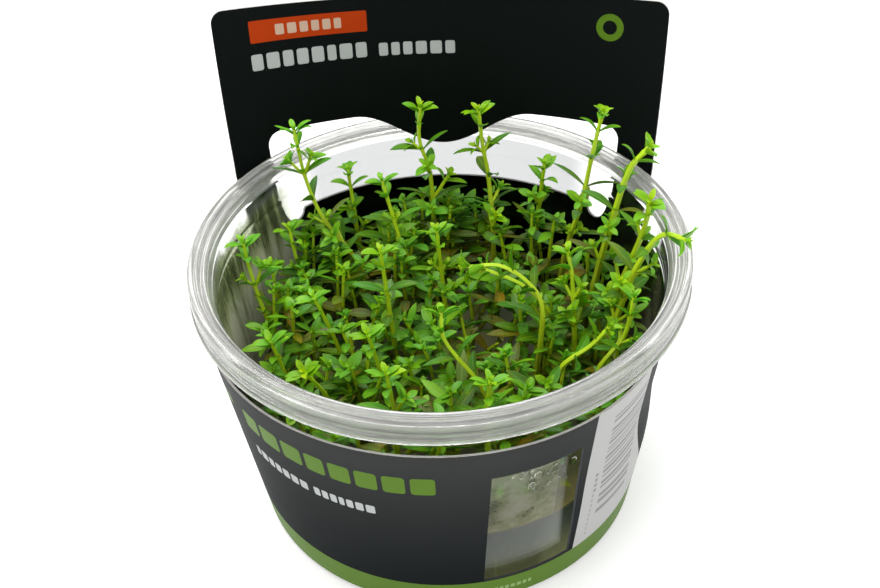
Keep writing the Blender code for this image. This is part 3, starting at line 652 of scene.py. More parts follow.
def leaf_material():
    """A leaf by its age: fresh yellow-green, then full green, then dull, and brown at the last."""
    look = Look("ludwigia leaf", {
        "Roughness": 0.42, "Specular IOR Level": 0.25, "Subsurface Weight": 0.25,
        "Subsurface Radius": (0.4, 1.0, 0.1), "Subsurface Scale": 0.0009,
        "Coat Weight": 0.03, "Coat Roughness": 0.25})
    age = look.node("Attribute", {}, "Fac", attribute_name="age") + (look.noise(420.0, 3.0) * 0.3 - 0.15)
    colour = look.ramp(age, (
        (0.0, (0.38, 0.62, 0.004)), (0.2, (0.16, 0.44, 0.003)), (0.45, (0.085, 0.29, 0.003)),
        (0.72, (0.052, 0.160, 0.003)), (0.88, (0.13, 0.18, 0.012)), (1.0, (0.19, 0.13, 0.010))))
    across, along, _ = look.parts(look.node("UVMap", {}, uv_map="surface"))
    off_middle = look.maths("ABSOLUTE", across - 0.5)
    midrib = look.fade(off_middle, 0.02, 0.075, 1.0, 0.0, "LINEAR")
    colour = look.mix(midrib * 0.45, colour, (0.26, 0.44, 0.06))
    veins = look.node("TexWave", {"Vector": look.vector(along - off_middle * 0.5, 0.0), "Scale": 4.5,
                                  "Distortion": 0.6, "Detail": 1.0}, "Fac")
    colour = look.mix(veins * 0.10, colour, (0.20, 0.36, 0.10))
    tone = look.fade(look.noise(130.0, 1.0), 0.35, 0.65)
    tint = look.mix(tone, (1.20, 1.02, 0.3), (0.86, 0.98, 2.0))
    look.drive({"Base Color": look.multiply(colour, tint)})
    look.bump(veins * 0.25 - midrib, 0.35, 0.00012)
    return look.material


def stem_material():
    """Yellow-green stem, darker and browner low down."""
    look = Look("ludwigia stem", {
        "Roughness": 0.4, "Specular IOR Level": 0.5, "Subsurface Weight": 0.15,
        "Subsurface Radius": (0.6, 1.0, 0.2), "Subsurface Scale": 0.0008})
    ribs = look.noise(500.0, 3.0, stretch=(1.0, 1.0, 0.2))
    age = look.node("Attribute", {}, "Fac", attribute_name="age") + (ribs * 0.2 - 0.1)
    look.drive({"Base Color": look.ramp(age, (
        (0.0, (0.50, 0.74, 0.012)), (0.35, (0.47, 0.64, 0.01)), (0.7, (0.37, 0.47, 0.012)),
        (1.0, (0.20, 0.20, 0.012))))})
    look.bump(ribs, 0.2, 0.0002)
    return look.material


def floor_material():
    look = Look("pale floor", {
        "Roughness": 0.6, "Specular IOR Level": 0.2, "Emission Color": (1.0, 1.0, 1.0),
        "Emission Strength": 0.4})
    look.drive({"Base Color": look.mix(look.noise(3.0, 2.0), (0.90,) * 3, (0.93,) * 3)})
    return look.material


# Cup, gel and droplets

def wall_radius(z):
    """Outer radius of the cup's wall at a height above the table."""
    return WALL_FOOT_RADIUS + (z - WALL_FOOT_Z) * WALL_DRAFT


def ridge(z):
    """The stacking ridge that runs round the wall a little below the rim."""
    return WALL_RIDGE * math.exp(-((z - WALL_RIDGE_Z) / 0.7) ** 2)


def cup():
    lip = CUP_HEIGHT - RIM_DEPTH
    shoulder = CUP_HEIGHT - RIM_TOP_THICKNESS
    skirt = RIM_NECK_RADIUS - RIM_SKIRT_THICKNESS
    mouth = CUP_HEIGHT - RIM_MOUTH_DEPTH
    heights = [8.0, 12.5, 17.0, GEL_TOP, GEL_TOP + GEL_CREEP, 30.0, 35.0, 40.0, 45.0, 49.0]
    heights += [51.5 + 0.25 * step for step in range(13)]
    outer_wall = [(wall_radius(z) + ridge(z), z) for z in heights]
    inner_wall = [(wall_radius(z) + ridge(z) - CUP_WALL, z) for z in reversed(heights)]
    foot = rounded([(0.0, 0.0), (FOOT_FLAT_RADIUS, 0.0), (FOOT_FLAT_RADIUS + 1.5, 0.6),
                    (WALL_FOOT_RADIUS, WALL_FOOT_Z), (wall_radius(WALL_LOW_Z), WALL_LOW_Z)], 0.8)
    under_rim = [(wall_radius(z), z) for z in (shoulder - 2.0, shoulder - 0.6)]
    skirt_end = [(skirt, shoulder), (skirt + 0.2, lip), (RIM_LIP_RADIUS, lip), (RIM_LIP_RADIUS, lip + 1.1)]
    over_neck = [(RIM_NECK_RADIUS, shoulder - 0.3), (RIM_NECK_RADIUS + 0.35, shoulder + 0.3),
                 (RIM_NECK_RADIUS + 0.25, CUP_HEIGHT - 0.35), (RIM_NECK_RADIUS - 0.2, CUP_HEIGHT)]
    below = [(wall_radius(z) - CUP_WALL, z) for z in (mouth - 1.2, WALL_HIGH_Z)]
    rim = rounded(under_rim + skirt_end + stepped((RIM_NECK_RADIUS, lip), NECK_STEPS) + over_neck
                  + stepped((RIM_CROWN_INNER, CUP_HEIGHT), CROWN_STEPS)
                  + stepped((RIM_MOUTH_RADIUS, CUP_HEIGHT), MOUTH_STEPS)
                  + [(RIM_MOUTH_RADIUS, mouth)] + below, RIM_ROUNDING)
    inside_foot = rounded([
        (wall_radius(WALL_LOW_Z) - CUP_WALL, WALL_LOW_Z),
        (wall_radius(CUP_FLOOR + 2.8) - CUP_WALL, CUP_FLOOR + 2.8),
        (FOOT_FLAT_RADIUS + 0.1, CUP_FLOOR + 0.8), (FOOT_FLAT_RADIUS - 1.0, CUP_FLOOR),
        (0.0, CUP_FLOOR)], 0.8)
    profile = foot + outer_wall + rim + inner_wall + inside_foot
    rim_start = len(foot) + len(outer_wall)
    inner_start = rim_start + len(rim) - 3
    slots = [CLEAR_SLOT] * (len(profile) - 1)
    for index in range(rim_start, len(slots)):
        if index < inner_start:
            slots[index] = RIM_SLOT
        elif profile[index][1] > GEL_TOP + GEL_CREEP:
            slots[index] = DAMP_SLOT
    surface = turned_surface(profile, CUP_SEGMENTS, slots)
    made = surface.build("clear_cup", [clear_plastic(), damp_plastic(), rim_plastic()], 40.0)
    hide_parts("cup")
    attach(made, "root")


def gel():
    """The set gel, with its edge crept up the wall and a gently dimpled top."""
    foot = CUP_FLOOR + TOUCH_GAP
    side = CUP_WALL + TOUCH_GAP
    above_foot = foot + 3.1
    edge = wall_radius(GEL_TOP) - side
    profile = rounded([
        (0.0, foot), (FOOT_FLAT_RADIUS - 1.2, foot), (FOOT_FLAT_RADIUS - 0.3, foot + 0.9),
        (wall_radius(above_foot) - side, above_foot), (wall_radius(15.0) - side, 15.0),
        (edge + GEL_CREEP * WALL_DRAFT, GEL_TOP + GEL_CREEP), (edge - 0.8, GEL_TOP + 0.15),
        (edge - 2.4, GEL_TOP), (edge * 0.8, GEL_TOP), (edge * 0.5, GEL_TOP), (edge * 0.2, GEL_TOP),
        (0.0, GEL_TOP)], 0.4)
    made = turned_surface(profile, 128).build("set_gel", [culture_gel()], 40.0)
    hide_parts("gel")
    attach(made, "root")


def droplet(surface, angle, z, radius, outside=False):
    """A flattened bead of water on the inside of the wall, or on its outside in the window."""
    wall = wall_radius(z) + ridge(z) - (0.0 if outside else CUP_WALL)
    centre = Vector((*polar(wall, angle), z))
    out = Vector((-math.cos(angle), -math.sin(angle), WALL_DRAFT)).normalized()
    out = -out if outside else out
    side = Vector((-math.sin(angle), math.cos(angle), 0))
    up = out.cross(side)
    sag = random.uniform(1.0, 1.45)
    points = []
    for ring in range(DROPLET_RINGS):
        lift = math.pi / 2 * ring / DROPLET_RINGS
        for step in range(DROPLET_SIDES):
            turn = math.tau * step / DROPLET_SIDES
            spoke = side * math.cos(turn) + up * math.sin(turn) * sag
            reach, height = radius * math.cos(lift), radius * DROPLET_HEIGHT * math.sin(lift)
            points.append(centre + spoke * reach + out * height)
    points += [centre - out * 0.05, centre + out * radius * DROPLET_HEIGHT]
    surface.add(points, ring_faces(DROPLET_RINGS, DROPLET_SIDES))


def droplets():
    surface = Surface()
    window = math.radians(WINDOW_AZIMUTH - 90.0)
    placed = []
    for index in range(DROPLET_COUNT):
        if index < WINDOW_DROPLETS:
            angle = window + random.uniform(-0.3, 0.3)
            z = random.triangular(GEL_TOP + 1.5, WINDOW_HIGH + 2.0, WINDOW_HIGH)
        else:
            angle = math.radians(random.uniform(FOG_FROM, FOG_TO + 30.0) - 90.0)
            z = random.uniform(GEL_TOP + 2.0, CUP_HEIGHT - 7.0)
        radius = DROPLET_SMALL + (DROPLET_LARGE - DROPLET_SMALL) * random.random() ** 4
        if all(abs(z - other_z) + abs(angle - other) * DROPLET_WALL_RADIUS >= (radius + other_radius) * 1.7
               for other, other_z, other_radius in placed):
            placed.append((angle, z, radius))
            droplet(surface, angle, z, radius)
    placed = []
    for _ in range(WINDOW_BEADS):
        angle = math.radians(random.triangular(*BEAD_AZIMUTHS) - 90.0)
        z = random.triangular(*BEAD_HEIGHTS)
        radius = random.uniform(*BEAD_RADII)
        if all(math.hypot(z - other_z, (angle - other) * DROPLET_WALL_RADIUS) > (radius + other_radius) * 0.95
               for other, other_z, other_radius in placed):
            placed.append((angle, z, radius))
            droplet(surface, angle, z, radius, outside=True)
    made = surface.build("wall_droplets", [droplet_water()], 60.0)
    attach(made, "root")


# Card sleeve

def smooth_step(value):
    value = min(max(value, 0.0), 1.0)
    return value * value * (3.0 - 2.0 * value)


def band_radius(z):
    return BAND_BOTTOM_RADIUS + (z - BAND_BOTTOM) * BAND_FLARE


def bent_card(u, z, offset):
    """Place a point of the flat card on the bent one; offset goes outwards through the card."""
    above = z - CUP_HEIGHT
    flattening = min(max(above / HEADER_BEND_SPAN, 0.0), 1.2)
    header_bend = 1 / HEADER_BEND_LOW + (1 / HEADER_BEND_HIGH - 1 / HEADER_BEND_LOW) * flattening
    header_y = HEADER_APEX_Y + above * HEADER_LEAN
    blend = smooth_step((z - STRIP_START_Z) / STRIP_BLEND_HEIGHT)
    blend *= 1.0 - smooth_step((abs(u) - NOTCH_CENTRE[0]) / 4.0)
    bend = (1 - blend) / BAND_REFERENCE_RADIUS + blend * header_bend
    apex = (1 - blend) * band_radius(z) + blend * header_y
    shrink = (1 - blend) * band_radius(z) / BAND_REFERENCE_RADIUS + blend
    radius = shrink / bend
    turn = u * bend
    facing = max(math.cos(turn + math.radians(180.0 + PINCH_AZIMUTH)), 0.0)
    pinch = SIDE_PINCH * facing ** 6 * smooth_step((z - PINCH_FROM) / PINCH_SPAN) * (1 - blend)
    reach = radius - pinch + offset
    x = reach * math.sin(turn)
    y = apex - radius + reach * math.cos(turn)
    return Vector((x, y, z))


def band_top(u):
    return BAND_TOP_MEAN - BAND_TOP_RISE * math.cos(u / BAND_REFERENCE_RADIUS)


def band_u(azimuth):
    """Place along the card of a direction seen from above, in degrees from the front towards +X."""
    return -math.radians(180.0 + azimuth) * BAND_REFERENCE_RADIUS


def arc(centre, radius, start, end, steps):
    """Points of an arc in degrees, measured from +u towards +z."""
    points = []
    for step in range(steps + 1):
        u, z = polar(radius, math.radians(start + (end - start) * step / steps))
        points.append((centre[0] + u, centre[1] + z))
    return points


def mirrored(right_half):
    """Add to the right half of an outline its left half, which runs the other way."""
    left_half = [(-u, z) for u, z in reversed(right_half) if u > 0.01]
    return right_half + left_half


def subdivided(outline, step=CARD_STEP):
    """Add points along an outline's long straight edges so that they can bend with the card."""
    out = []
    for start, end in zip(outline, outline[1:] + outline[:1]):
        pieces = max(1, math.ceil(math.dist(start, end) / step))
        for piece in range(pieces):
            t = piece / pieces
            out.append((start[0] + (end[0] - start[0]) * t, start[1] + (end[1] - start[1]) * t))
    return out


def header_outline():
    """The top edge from the notch on the right, over the header, to the notch on the left."""
    right = arc(NOTCH_CENTRE, NOTCH_RADIUS, -15, -150, 10)
    right += [(HEADER_HALF_WIDTH - 0.6, 51.6), (HEADER_HALF_WIDTH, 59.0)]
    corner = (HEADER_HALF_WIDTH - HEADER_CORNER, HEADER_TOP - HEADER_CORNER)
    right += arc(corner, HEADER_CORNER, 0, 90, 12)
    return mirrored(right)


def sleeve_outline():
    """The die-cut outline, unrolled from the seam once round to the seam again."""
    outline = [(SEAM_FAR_U, BAND_BOTTOM), (SEAM_U, BAND_BOTTOM), (SEAM_U, band_top(SEAM_U))]
    first_notch = NOTCH_CENTRE[0] + NOTCH_RADIUS + 1.0
    u = SEAM_U - CARD_STEP
    while u > first_notch:
        outline.append((u, band_top(u)))
        u -= CARD_STEP
    outline += header_outline()
    u = -first_notch - CARD_STEP / 2
    while u > SEAM_FAR_U + CARD_STEP / 2:
        outline.append((u, band_top(u)))
        u -= CARD_STEP
    outline.append((SEAM_FAR_U, band_top(SEAM_U)))
    return outline


def hole_outline():
    """The opening for the rim: two lobes, the tongue between them and a leg on each side."""
    right = [(0.0, HOLE_FLOOR), (LEG_CENTRE[0] - LEG_RADIUS - 0.5, HOLE_FLOOR)]
    right += arc(LEG_CENTRE, LEG_RADIUS, 200, 370, 14)
    right.append((HOLE_HALF_WIDTH - 0.3, 53.0))
    corner = (HOLE_HALF_WIDTH - HOLE_CORNER, HOLE_TOP - HOLE_CORNER)
    right += arc(corner, HOLE_CORNER, 0, 90, 10)
    rise = HOLE_TOP - TONGUE_TIP
    for step in range(16, -1, -1):
        u = TONGUE_HALF_WIDTH * step / 16
        right.append((u, TONGUE_TIP + rise * (1 - math.cos(math.pi * u / TONGUE_HALF_WIDTH)) / 2))
    return mirrored(right)


def window_outline():
    """The window is a true rectangle, so it spans more of the band's angle lower down."""
    middle = band_u(WINDOW_AZIMUTH)
    corners = []
    for z, side in ((WINDOW_LOW, -1), (WINDOW_LOW, 1), (WINDOW_HIGH, 1), (WINDOW_HIGH, -1)):
        corners.append((middle + side * WINDOW_WIDTH / 2 * BAND_REFERENCE_RADIUS / band_radius(z), z))
    return corners


def bar(u0, u1, z0, z1, corner=0.35):
    """A printed rectangle with slightly rounded corners."""
    u0, u1 = min(u0, u1), max(u0, u1)
    corner = min(corner, (u1 - u0) / 2 - 0.01, (z1 - z0) / 2 - 0.01)
    outline = []
    for cu, cz, start in ((u1 - corner, z0 + corner, -90), (u1 - corner, z1 - corner, 0),
                          (u0 + corner, z1 - corner, 90), (u0 + corner, z0 + corner, 180)):
        outline += arc((cu, cz), corner, start, start + 90, 3)
    return outline


def row_of_bars(u, direction, z, height, count, width, gap, vary):
    """A row of plain blocks in the place of a line of words."""
    bars = []
    for _ in range(count):
        wide = width * random.uniform(1 - vary, 1 + vary)
        bars.append(bar(u, u + direction * wide, z, z + height, height * 0.14))
        u += direction * (wide + gap)
    return bars


def printed_rows(rows, place=float):
    """The blocks of several rows: (ink, outline). place turns a row's start into a place on the card."""
    return [(ink, block) for ink, start, *row in rows for block in row_of_bars(place(start), *row)]


def header_print():
    """Print on the header's front, which is the inner side of the card: (ink, outline)."""
    ring = [("green", arc(RING_CENTRE, 2.9, 0, 345, 23)), ("header", arc(RING_CENTRE, 1.5, 0, 340, 17))]
    return [("orange", bar(*HEADER_BAR))] + printed_rows(HEADER_ROWS) + ring


def band_print():
    """Print on the band's outer side: (ink, outline)."""
    shapes = printed_rows(TITLE_ROW, band_u)
    shapes.append(("green", bar(*map(band_u, TITLE_BLOCK_TURNS), *TITLE_BLOCK_HEIGHTS, 1.3)))
    shapes += printed_rows(BAND_ROWS, band_u)
    left, right = band_u(PANEL_START), band_u(PANEL_TURN)
    panel = [(left, BAND_STRIP_TOP)]
    for step in range(PANEL_STEPS + 1):
        z = BAND_STRIP_TOP + (PANEL_SHOULDER - BAND_STRIP_TOP) * step / PANEL_STEPS
        swing = ((PANEL_SHOULDER - z) / (PANEL_SHOULDER - BAND_STRIP_TOP)) ** 2
        panel.append((band_u(PANEL_TURN + (PANEL_TURN_LOW - PANEL_TURN) * swing), z))
    for step in range(9):
        u = right + (left - right) * step / 8
        panel.append((u, band_top(u) - 0.01))
    shapes.append(("panel", panel))
    z = BAR_START
    for thick, gap in BAR_CODE:
        end = BAR_TURNS[1] + 1.6 * smooth_step((z - PINCH_FROM) / PINCH_SPAN)
        shapes.append(("bar ink", bar(band_u(BAR_TURNS[0]), band_u(end), z, z + thick * BAR_STRETCH, 0.02)))
        z += (thick + gap) * BAR_STRETCH
    for step in range(TICKS):
        z = TICK_START + TICK_PITCH * step
        end = TICK_TURNS[1] + 0.6 * (step > 8)
        shapes.append(("bar ink", bar(band_u(TICK_TURNS[0]), band_u(end), z, z + TICK_HEIGHT, 0.1)))
    return shapes


def inside(outline, points):
    """Even-odd test of many points against an outline."""
    result = np.zeros(len(points), bool)
    for (x0, y0), (x1, y1) in zip(outline, outline[1:] + outline[:1]):
        if y0 == y1:
            continue
        crosses = (points[:, 1] > min(y0, y1)) & (points[:, 1] <= max(y0, y1))
        reach = x0 + (points[:, 1] - y0) * (x1 - x0) / (y1 - y0)
        result ^= crosses & (points[:, 0] < reach)
    return result


def distance_to_edges(points, starts, ends):
    """Least distance from each point to any of the edges."""
    least = np.full(len(points), 1e9)
    for start, end in zip(starts, ends):
        along = end - start
        t = np.clip(((points - start) @ along) / max(along @ along, 1e-12), 0, 1)
        gap = np.hypot(*(points - start - t[:, None] * along).T)
        least = np.minimum(least, gap)
    return least


def flat_card(outline, cuts, shapes):
    """Points and triangles of the unrolled card, along its edges, its cuts and its print."""
    strip_steps = round((SEAM_U - SEAM_FAR_U) / CARD_STEP)
    points, edges = [], []
    for loop in [outline] + cuts + [subdivided(shape) for _, shape in shapes]:
        start = len(points)
        points += loop
        edges += [(start + index, start + (index + 1) % len(loop)) for index in range(len(loop))]
    edges += [(len(points) + index, len(points) + index + 1) for index in range(strip_steps)]
    points += [(SEAM_FAR_U + (SEAM_U - SEAM_FAR_U) * step / strip_steps, BAND_STRIP_TOP)
               for step in range(strip_steps + 1)]
    fixed = np.array(points)
    starts, ends = (fixed[[edge[side] for edge in edges]] for side in (0, 1))
    row_step = CARD_STEP * ROW_SHARE
    lattice = np.array([
        (SEAM_FAR_U + CARD_STEP * (column + 0.5 * (row % 2) + 0.25), BAND_BOTTOM + row_step * (row + 0.5))
        for row in range(math.ceil((HEADER_TOP - BAND_BOTTOM) / row_step)) for column in range(strip_steps)])
    lattice = lattice[inside(outline, lattice)]
    lattice = lattice[distance_to_edges(lattice, starts, ends) > CARD_STEP * 0.3]
    everything = [Vector(point) for point in points] + [Vector(point) for point in lattice]
    flat, _, triangles = delaunay_2d_cdt(everything, edges, [], 1, 1e-5)[:3]
    flat = np.array([tuple(point) for point in flat])
    triangles = np.array(triangles)
    middles = flat[triangles].mean(1)
    keep = inside(outline, middles)
    for loop in cuts:
        keep &= ~inside(loop, middles)
    return flat, triangles[keep], middles[keep]


def card_sleeve():
    """The card as one closed mesh, its print cut into the two faces as their own triangles."""
    slots = list(INKS)
    outer_print, inner_print = band_print(), header_print()
    cuts = [subdivided(hole_outline()), subdivided(window_outline())]
    flat, triangles, middles = flat_card(subdivided(sleeve_outline()), cuts, outer_print + inner_print)
    outer_slot = np.where(middles[:, 1] < BAND_STRIP_TOP, slots.index("green"), slots.index("card"))
    inner_slot = np.full(len(middles), slots.index("header"))
    for slot_list, shapes in ((outer_slot, outer_print), (inner_slot, inner_print)):
        for ink, shape in shapes:
            slot_list[inside(shape, middles)] = slots.index(ink)

    a, b, c = flat[triangles[0]]
    turned_out = np.cross(b - a, c - a) > 0
    count = len(flat)
    faces, face_slots, sides = [], [], set()
    for number, (a, b, c) in enumerate(triangles):
        sides |= {(a, b), (b, c), (c, a)}
        first = (a, c, b) if turned_out else (a, b, c)
        faces += [first, tuple(index + count for index in reversed(first))]
        face_slots += [outer_slot[number], inner_slot[number]]
    for start, end in sorted(sides):
        (u0, z0), (u1, z1) = flat[start], flat[end]
        at_seam = any(abs(u0 - u) < 0.001 and abs(u1 - u) < 0.001 for u in (SEAM_U, SEAM_FAR_U))
        if (end, start) in sides or at_seam:
            continue
        quad = (start, end, end + count, start + count)
        faces.append(quad if turned_out else quad[::-1])
        # The cut edges at the foot and round the window take the edge colour darkened as painted shade
        low_cut = min(z0, z1) < BAND_BOTTOM + 0.01
        on_window = abs(u0 - band_u(WINDOW_AZIMUTH)) < WINDOW_WIDTH and z0 < WINDOW_HIGH + 0.01
        face_slots.append(slots.index("painted shade edge" if low_cut or on_window else "edge"))

    points = [bent_card(u, z, side * CARD_THICKNESS / 2) for side in (1, -1) for u, z in flat]
    surface = Surface()
    surface.add(points, faces, face_slots, np.tile(flat / 100.0, (2, 1)))
    made = surface.build("printed_card", [card_material(*ink) for ink in INKS.values()], 35.0)
    weld_seam(made)
    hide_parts("card_sleeve")
    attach(made, "root")


def weld_seam(made):
    """Join the band's two ends, which meet point for point."""
    shape = bmesh.new()
    shape.from_mesh(made.data)
    bmesh.ops.remove_doubles(shape, verts=shape.verts, dist=SEAM_WELD * MM)
    bmesh.ops.recalc_face_normals(shape, faces=shape.faces)
    shape.to_mesh(made.data)
    shape.free()


# Shoots: where they stand

def undergrowth_height(x, y):
    """Height of the foliage's rolling top, which falls away beside the wall."""
    roll = math.sin(x / TUFT_X + 1.3) * math.cos(y / TUFT_Y) + 0.5 * math.sin((x + y) / TUFT_SLANT)
    edge = max(math.hypot(x, y) / UNDERGROWTH_RADIUS - 0.8, 0.0) / 0.2
    return UNDERGROWTH_TOP + UNDERGROWTH_LUMP * roll / 1.5 - UNDERGROWTH_EDGE_DROP * edge


def stem_path(points):
    """A smooth dense line through a shoot's points; its foot up to the second one is straight."""
    root = Vector((points[0][0], points[0][1], STEM_FOOT))
    knots = [root] + [Vector(point) for point in points[1:]]
    dense = [root.lerp(knots[1], step / STEM_STEPS) for step in range(STEM_STEPS)]
    before = knots[0]
    for index in range(1, len(knots) - 1):
        start, end = knots[index], knots[index + 1]
        after = knots[index + 2] if index + 2 < len(knots) else end + (end - start)
        leave = (end - before).normalized() * (end - start).length
        arrive = (after - start).normalized() * (end - start).length
        for step in range(STEM_STEPS):
            t = step / STEM_STEPS
            dense.append((2 * t ** 3 - 3 * t ** 2 + 1) * start + (t ** 3 - 2 * t ** 2 + t) * leave
                         + (3 * t ** 2 - 2 * t ** 3) * end + (t ** 3 - t ** 2) * arrive)
        before = start
    dense.append(knots[-1])
    return dense


def path_length(path):
    return sum((after - before).length for before, after in zip(path, path[1:]))


def along_path(path, distance):
    """Point and direction at a distance from the tip, measured down the stem."""
    left = distance
    for index in range(len(path) - 1, 0, -1):
        length = (path[index] - path[index - 1]).length
        if left <= length or index == 1:
            point = path[index].lerp(path[index - 1], left / length)
            return point, (path[index] - path[index - 1]).normalized()
        left -= length


def leaf_nodes(path):
    """Where the pairs of leaves grow: distances from the tip, close together at the tip."""
    total = path_length(path)
    distances = [FIRST_NODE, FIRST_NODE + TIP_INTERNODE]
    while distances[-1] < total:
        distances.append(distances[-1] + INTERNODE)
    kept = []
    for distance in distances:
        point, _ = along_path(path, min(distance, total))
        if point.z > undergrowth_height(point.x, point.y) + LEAF_ABOVE_UNDERGROWTH + NODE_HEIGHT:
            kept.append(distance)
    return kept


def card_surface_y(x, z):
    """Y of the header's front face over a point, near enough for keeping leaves clear."""
    u = x * 1.04
    for _ in range(4):
        u += x - bent_card(u, z, 0.0).x
    return bent_card(u, z, -CARD_THICKNESS / 2).y


def blocked(point):
    """True where a leaf would touch the cup, the card or the undergrowth."""
    radius = math.hypot(point.x, point.y)
    if point.z < CUP_HEIGHT + LEAF_TO_WALL:
        inner = wall_radius(min(point.z, CUP_HEIGHT - RIM_MOUTH_DEPTH)) - CUP_WALL
        if radius > inner - LEAF_TO_WALL:
            return True
    if point.z < undergrowth_height(point.x, point.y) + LEAF_ABOVE_UNDERGROWTH:
        return True
    if point.z > TONGUE_TIP - 1.0 and point.y > 20.0 and abs(point.x) < HEADER_HALF_WIDTH:
        return point.y > card_surface_y(point.x, point.z) - LEAF_TO_CARD
    return False


def leaf_line(foot, outward, upward, length):
    """Middle and tip of a leaf: it rises from the stem and arches over a little."""
    rise = 0.75 if length < LEAF_LENGTH * 0.7 else 0.5
    first = (outward + upward * rise).normalized()
    second = (outward + upward * rise * 0.55).normalized()
    middle = foot + first * length * 0.5
    return middle, middle + second * length * 0.5


def leaf_samples(foot, middle, tip):
    return [foot.lerp(middle, 0.6), middle, middle.lerp(tip, 0.5), tip]


def pair_frame(direction, twist, index):
    """Outward direction of a pair of leaves; each pair is crossed with the one below."""
    side = direction.cross(Vector((math.cos(twist), math.sin(twist), 0.35))).normalized()
    other = direction.cross(side).normalized()
    return (side, other) if index % 2 else (other, -side)


def fitted_leaf(foot, outward, direction, wanted, stems, leaves):
    """The longest leaf, up to the wanted length, that keeps clear of all that is near."""
    length = wanted
    while length >= SHORTEST_LEAF:
        middle, tip = leaf_line(foot, outward, direction, length)
        samples = leaf_samples(foot, middle, tip)
        if not (any(blocked(point) for point in samples)
                or any((point - other).length <= LEAF_TO_STEM for point in samples for other in stems)
                or any((point - other).length <= LEAF_TO_LEAF for point in samples for other in leaves)):
            return length
        length -= LENGTH_STEP
    return 0.0


def leaf_places(path, twist):
    """Each node's distance from the tip, its point and direction, and its leaves' outward directions."""
    for index, distance in enumerate(leaf_nodes(path)):
        foot, direction = along_path(path, distance)
        yield distance, foot, direction, *pair_frame(direction, twist, index)


def plan_leaves(paths):
    """Choose each shoot's twist and leaf lengths so that no two shoots touch."""
    plan = {}
    taken = []
    for name, path in paths.items():
        stems = [point for other, line in paths.items() if other != name for point in line]
        stems = [point for point in stems if (point - path[-1]).length < NEAR_ENOUGH]
        best = None
        for turn in range(TWISTS_TRIED):
            twist = math.pi * turn / TWISTS_TRIED
            rows = []
            for index, (_, foot, direction, outward, _) in enumerate(leaf_places(path, twist)):
                wanted = TIP_LEAF_LENGTH if index == 0 else LEAF_LENGTH
                wanted *= 0.8 if index == 1 else 1.0
                rows.append([fitted_leaf(foot, side * outward, direction, wanted, stems, taken)
                             for side in (1, -1)])
            score = sum(sum(row) for row in rows)
            if best is None or score > best[0] + 0.01:
                best = (score, twist, rows)
        plan[name] = best[1:]
        for lengths, (_, foot, direction, outward, _) in zip(best[2], leaf_places(path, best[1])):
            for side, length in zip((1, -1), lengths):
                if length:
                    middle, tip = leaf_line(foot, side * outward, direction, length)
                    taken += leaf_samples(foot, middle, tip)
    return plan


# Shoots: how they look

def leaf_faces(rows, columns):
    """Faces of a thin closed leaf whose top and bottom are grids of the same size."""
    across = columns + 1
    under = (rows + 1) * across
    faces = []
    for row in range(rows):
        for column in range(columns):
            a = row * across + column
            quad = (a, a + 1, a + across + 1, a + across)
            faces.append(quad)
            faces.append(tuple(index + under for index in reversed(quad)))
        left, right = row * across, row * across + columns
        faces.append((left, left + across, left + across + under, left + under))
        faces.append((right, right + under, right + across + under, right + across))
    for column in range(columns):
        base, end = column, rows * across + column
        faces.append((base, base + under, base + 1 + under, base + 1))
        faces.append((end, end + 1, end + 1 + under, end + under))
    return faces


def leaf_width(length):
    """Short leaves are broad for their length, long ones narrow."""
    return LEAF_BREADTH + LEAF_BROADENING * length


def add_leaf(surface, foot, middle, tip, upward, width, age, rows=9, columns=4, fold=0.3, roll=0.0,
             blunt=0.3):
    """One leaf along a curved line, folded along its midrib, on the leaf material.

    Blunt goes from 0, a pointed leaf widest at its middle, to 1, a rounded one widest near its tip.
    """
    foot, middle, tip = np.array(foot), np.array(middle), np.array(tip)
    control = 2 * middle - (foot + tip) / 2
    t = np.linspace(0, 1, rows + 1)[:, None]
    centre = (1 - t) ** 2 * foot + 2 * t * (1 - t) * control + t ** 2 * tip
    tangent = 2 * (1 - t) * (control - foot) + 2 * t * (tip - control)
    tangent /= np.linalg.norm(tangent, axis=1, keepdims=True)
    across = np.cross(tangent, np.array(upward))
    across /= np.linalg.norm(across, axis=1, keepdims=True) + 1e-9
    normal = np.cross(across, tangent)
    across, normal = (across * math.cos(roll) + normal * math.sin(roll),
                      normal * math.cos(roll) - across * math.sin(roll))
    shape = np.sin(math.pi * t ** (0.92 + 0.35 * blunt)) ** (1.05 - 0.15 * blunt - (0.1 + 0.35 * blunt) * t)
    half = width / 2 * np.maximum(shape, np.maximum(0.26 * (1 - 3 * t), 0.05))
    s = np.linspace(-1, 1, columns + 1)
    sheet = (centre[:, None, :] + across[:, None, :] * (half * s)[:, :, None]
             + normal[:, None, :] * (half * np.abs(s) ** 1.3 * fold)[:, :, None])
    thick = LEAF_THICKNESS * (1 - 0.75 * np.abs(s)) * np.maximum(0.35, 1 - t) + 0.04
    lift = normal[:, None, :] * thick[:, :, None] / 2
    uv = np.stack(np.broadcast_arrays(s * 0.5 + 0.5, t), 2).reshape(-1, 2)
    points = np.concatenate([(sheet + lift).reshape(-1, 3), (sheet - lift).reshape(-1, 3)])
    surface.add(points, leaf_faces(rows, columns), LEAF_SLOT, np.concatenate([uv, uv]), age)


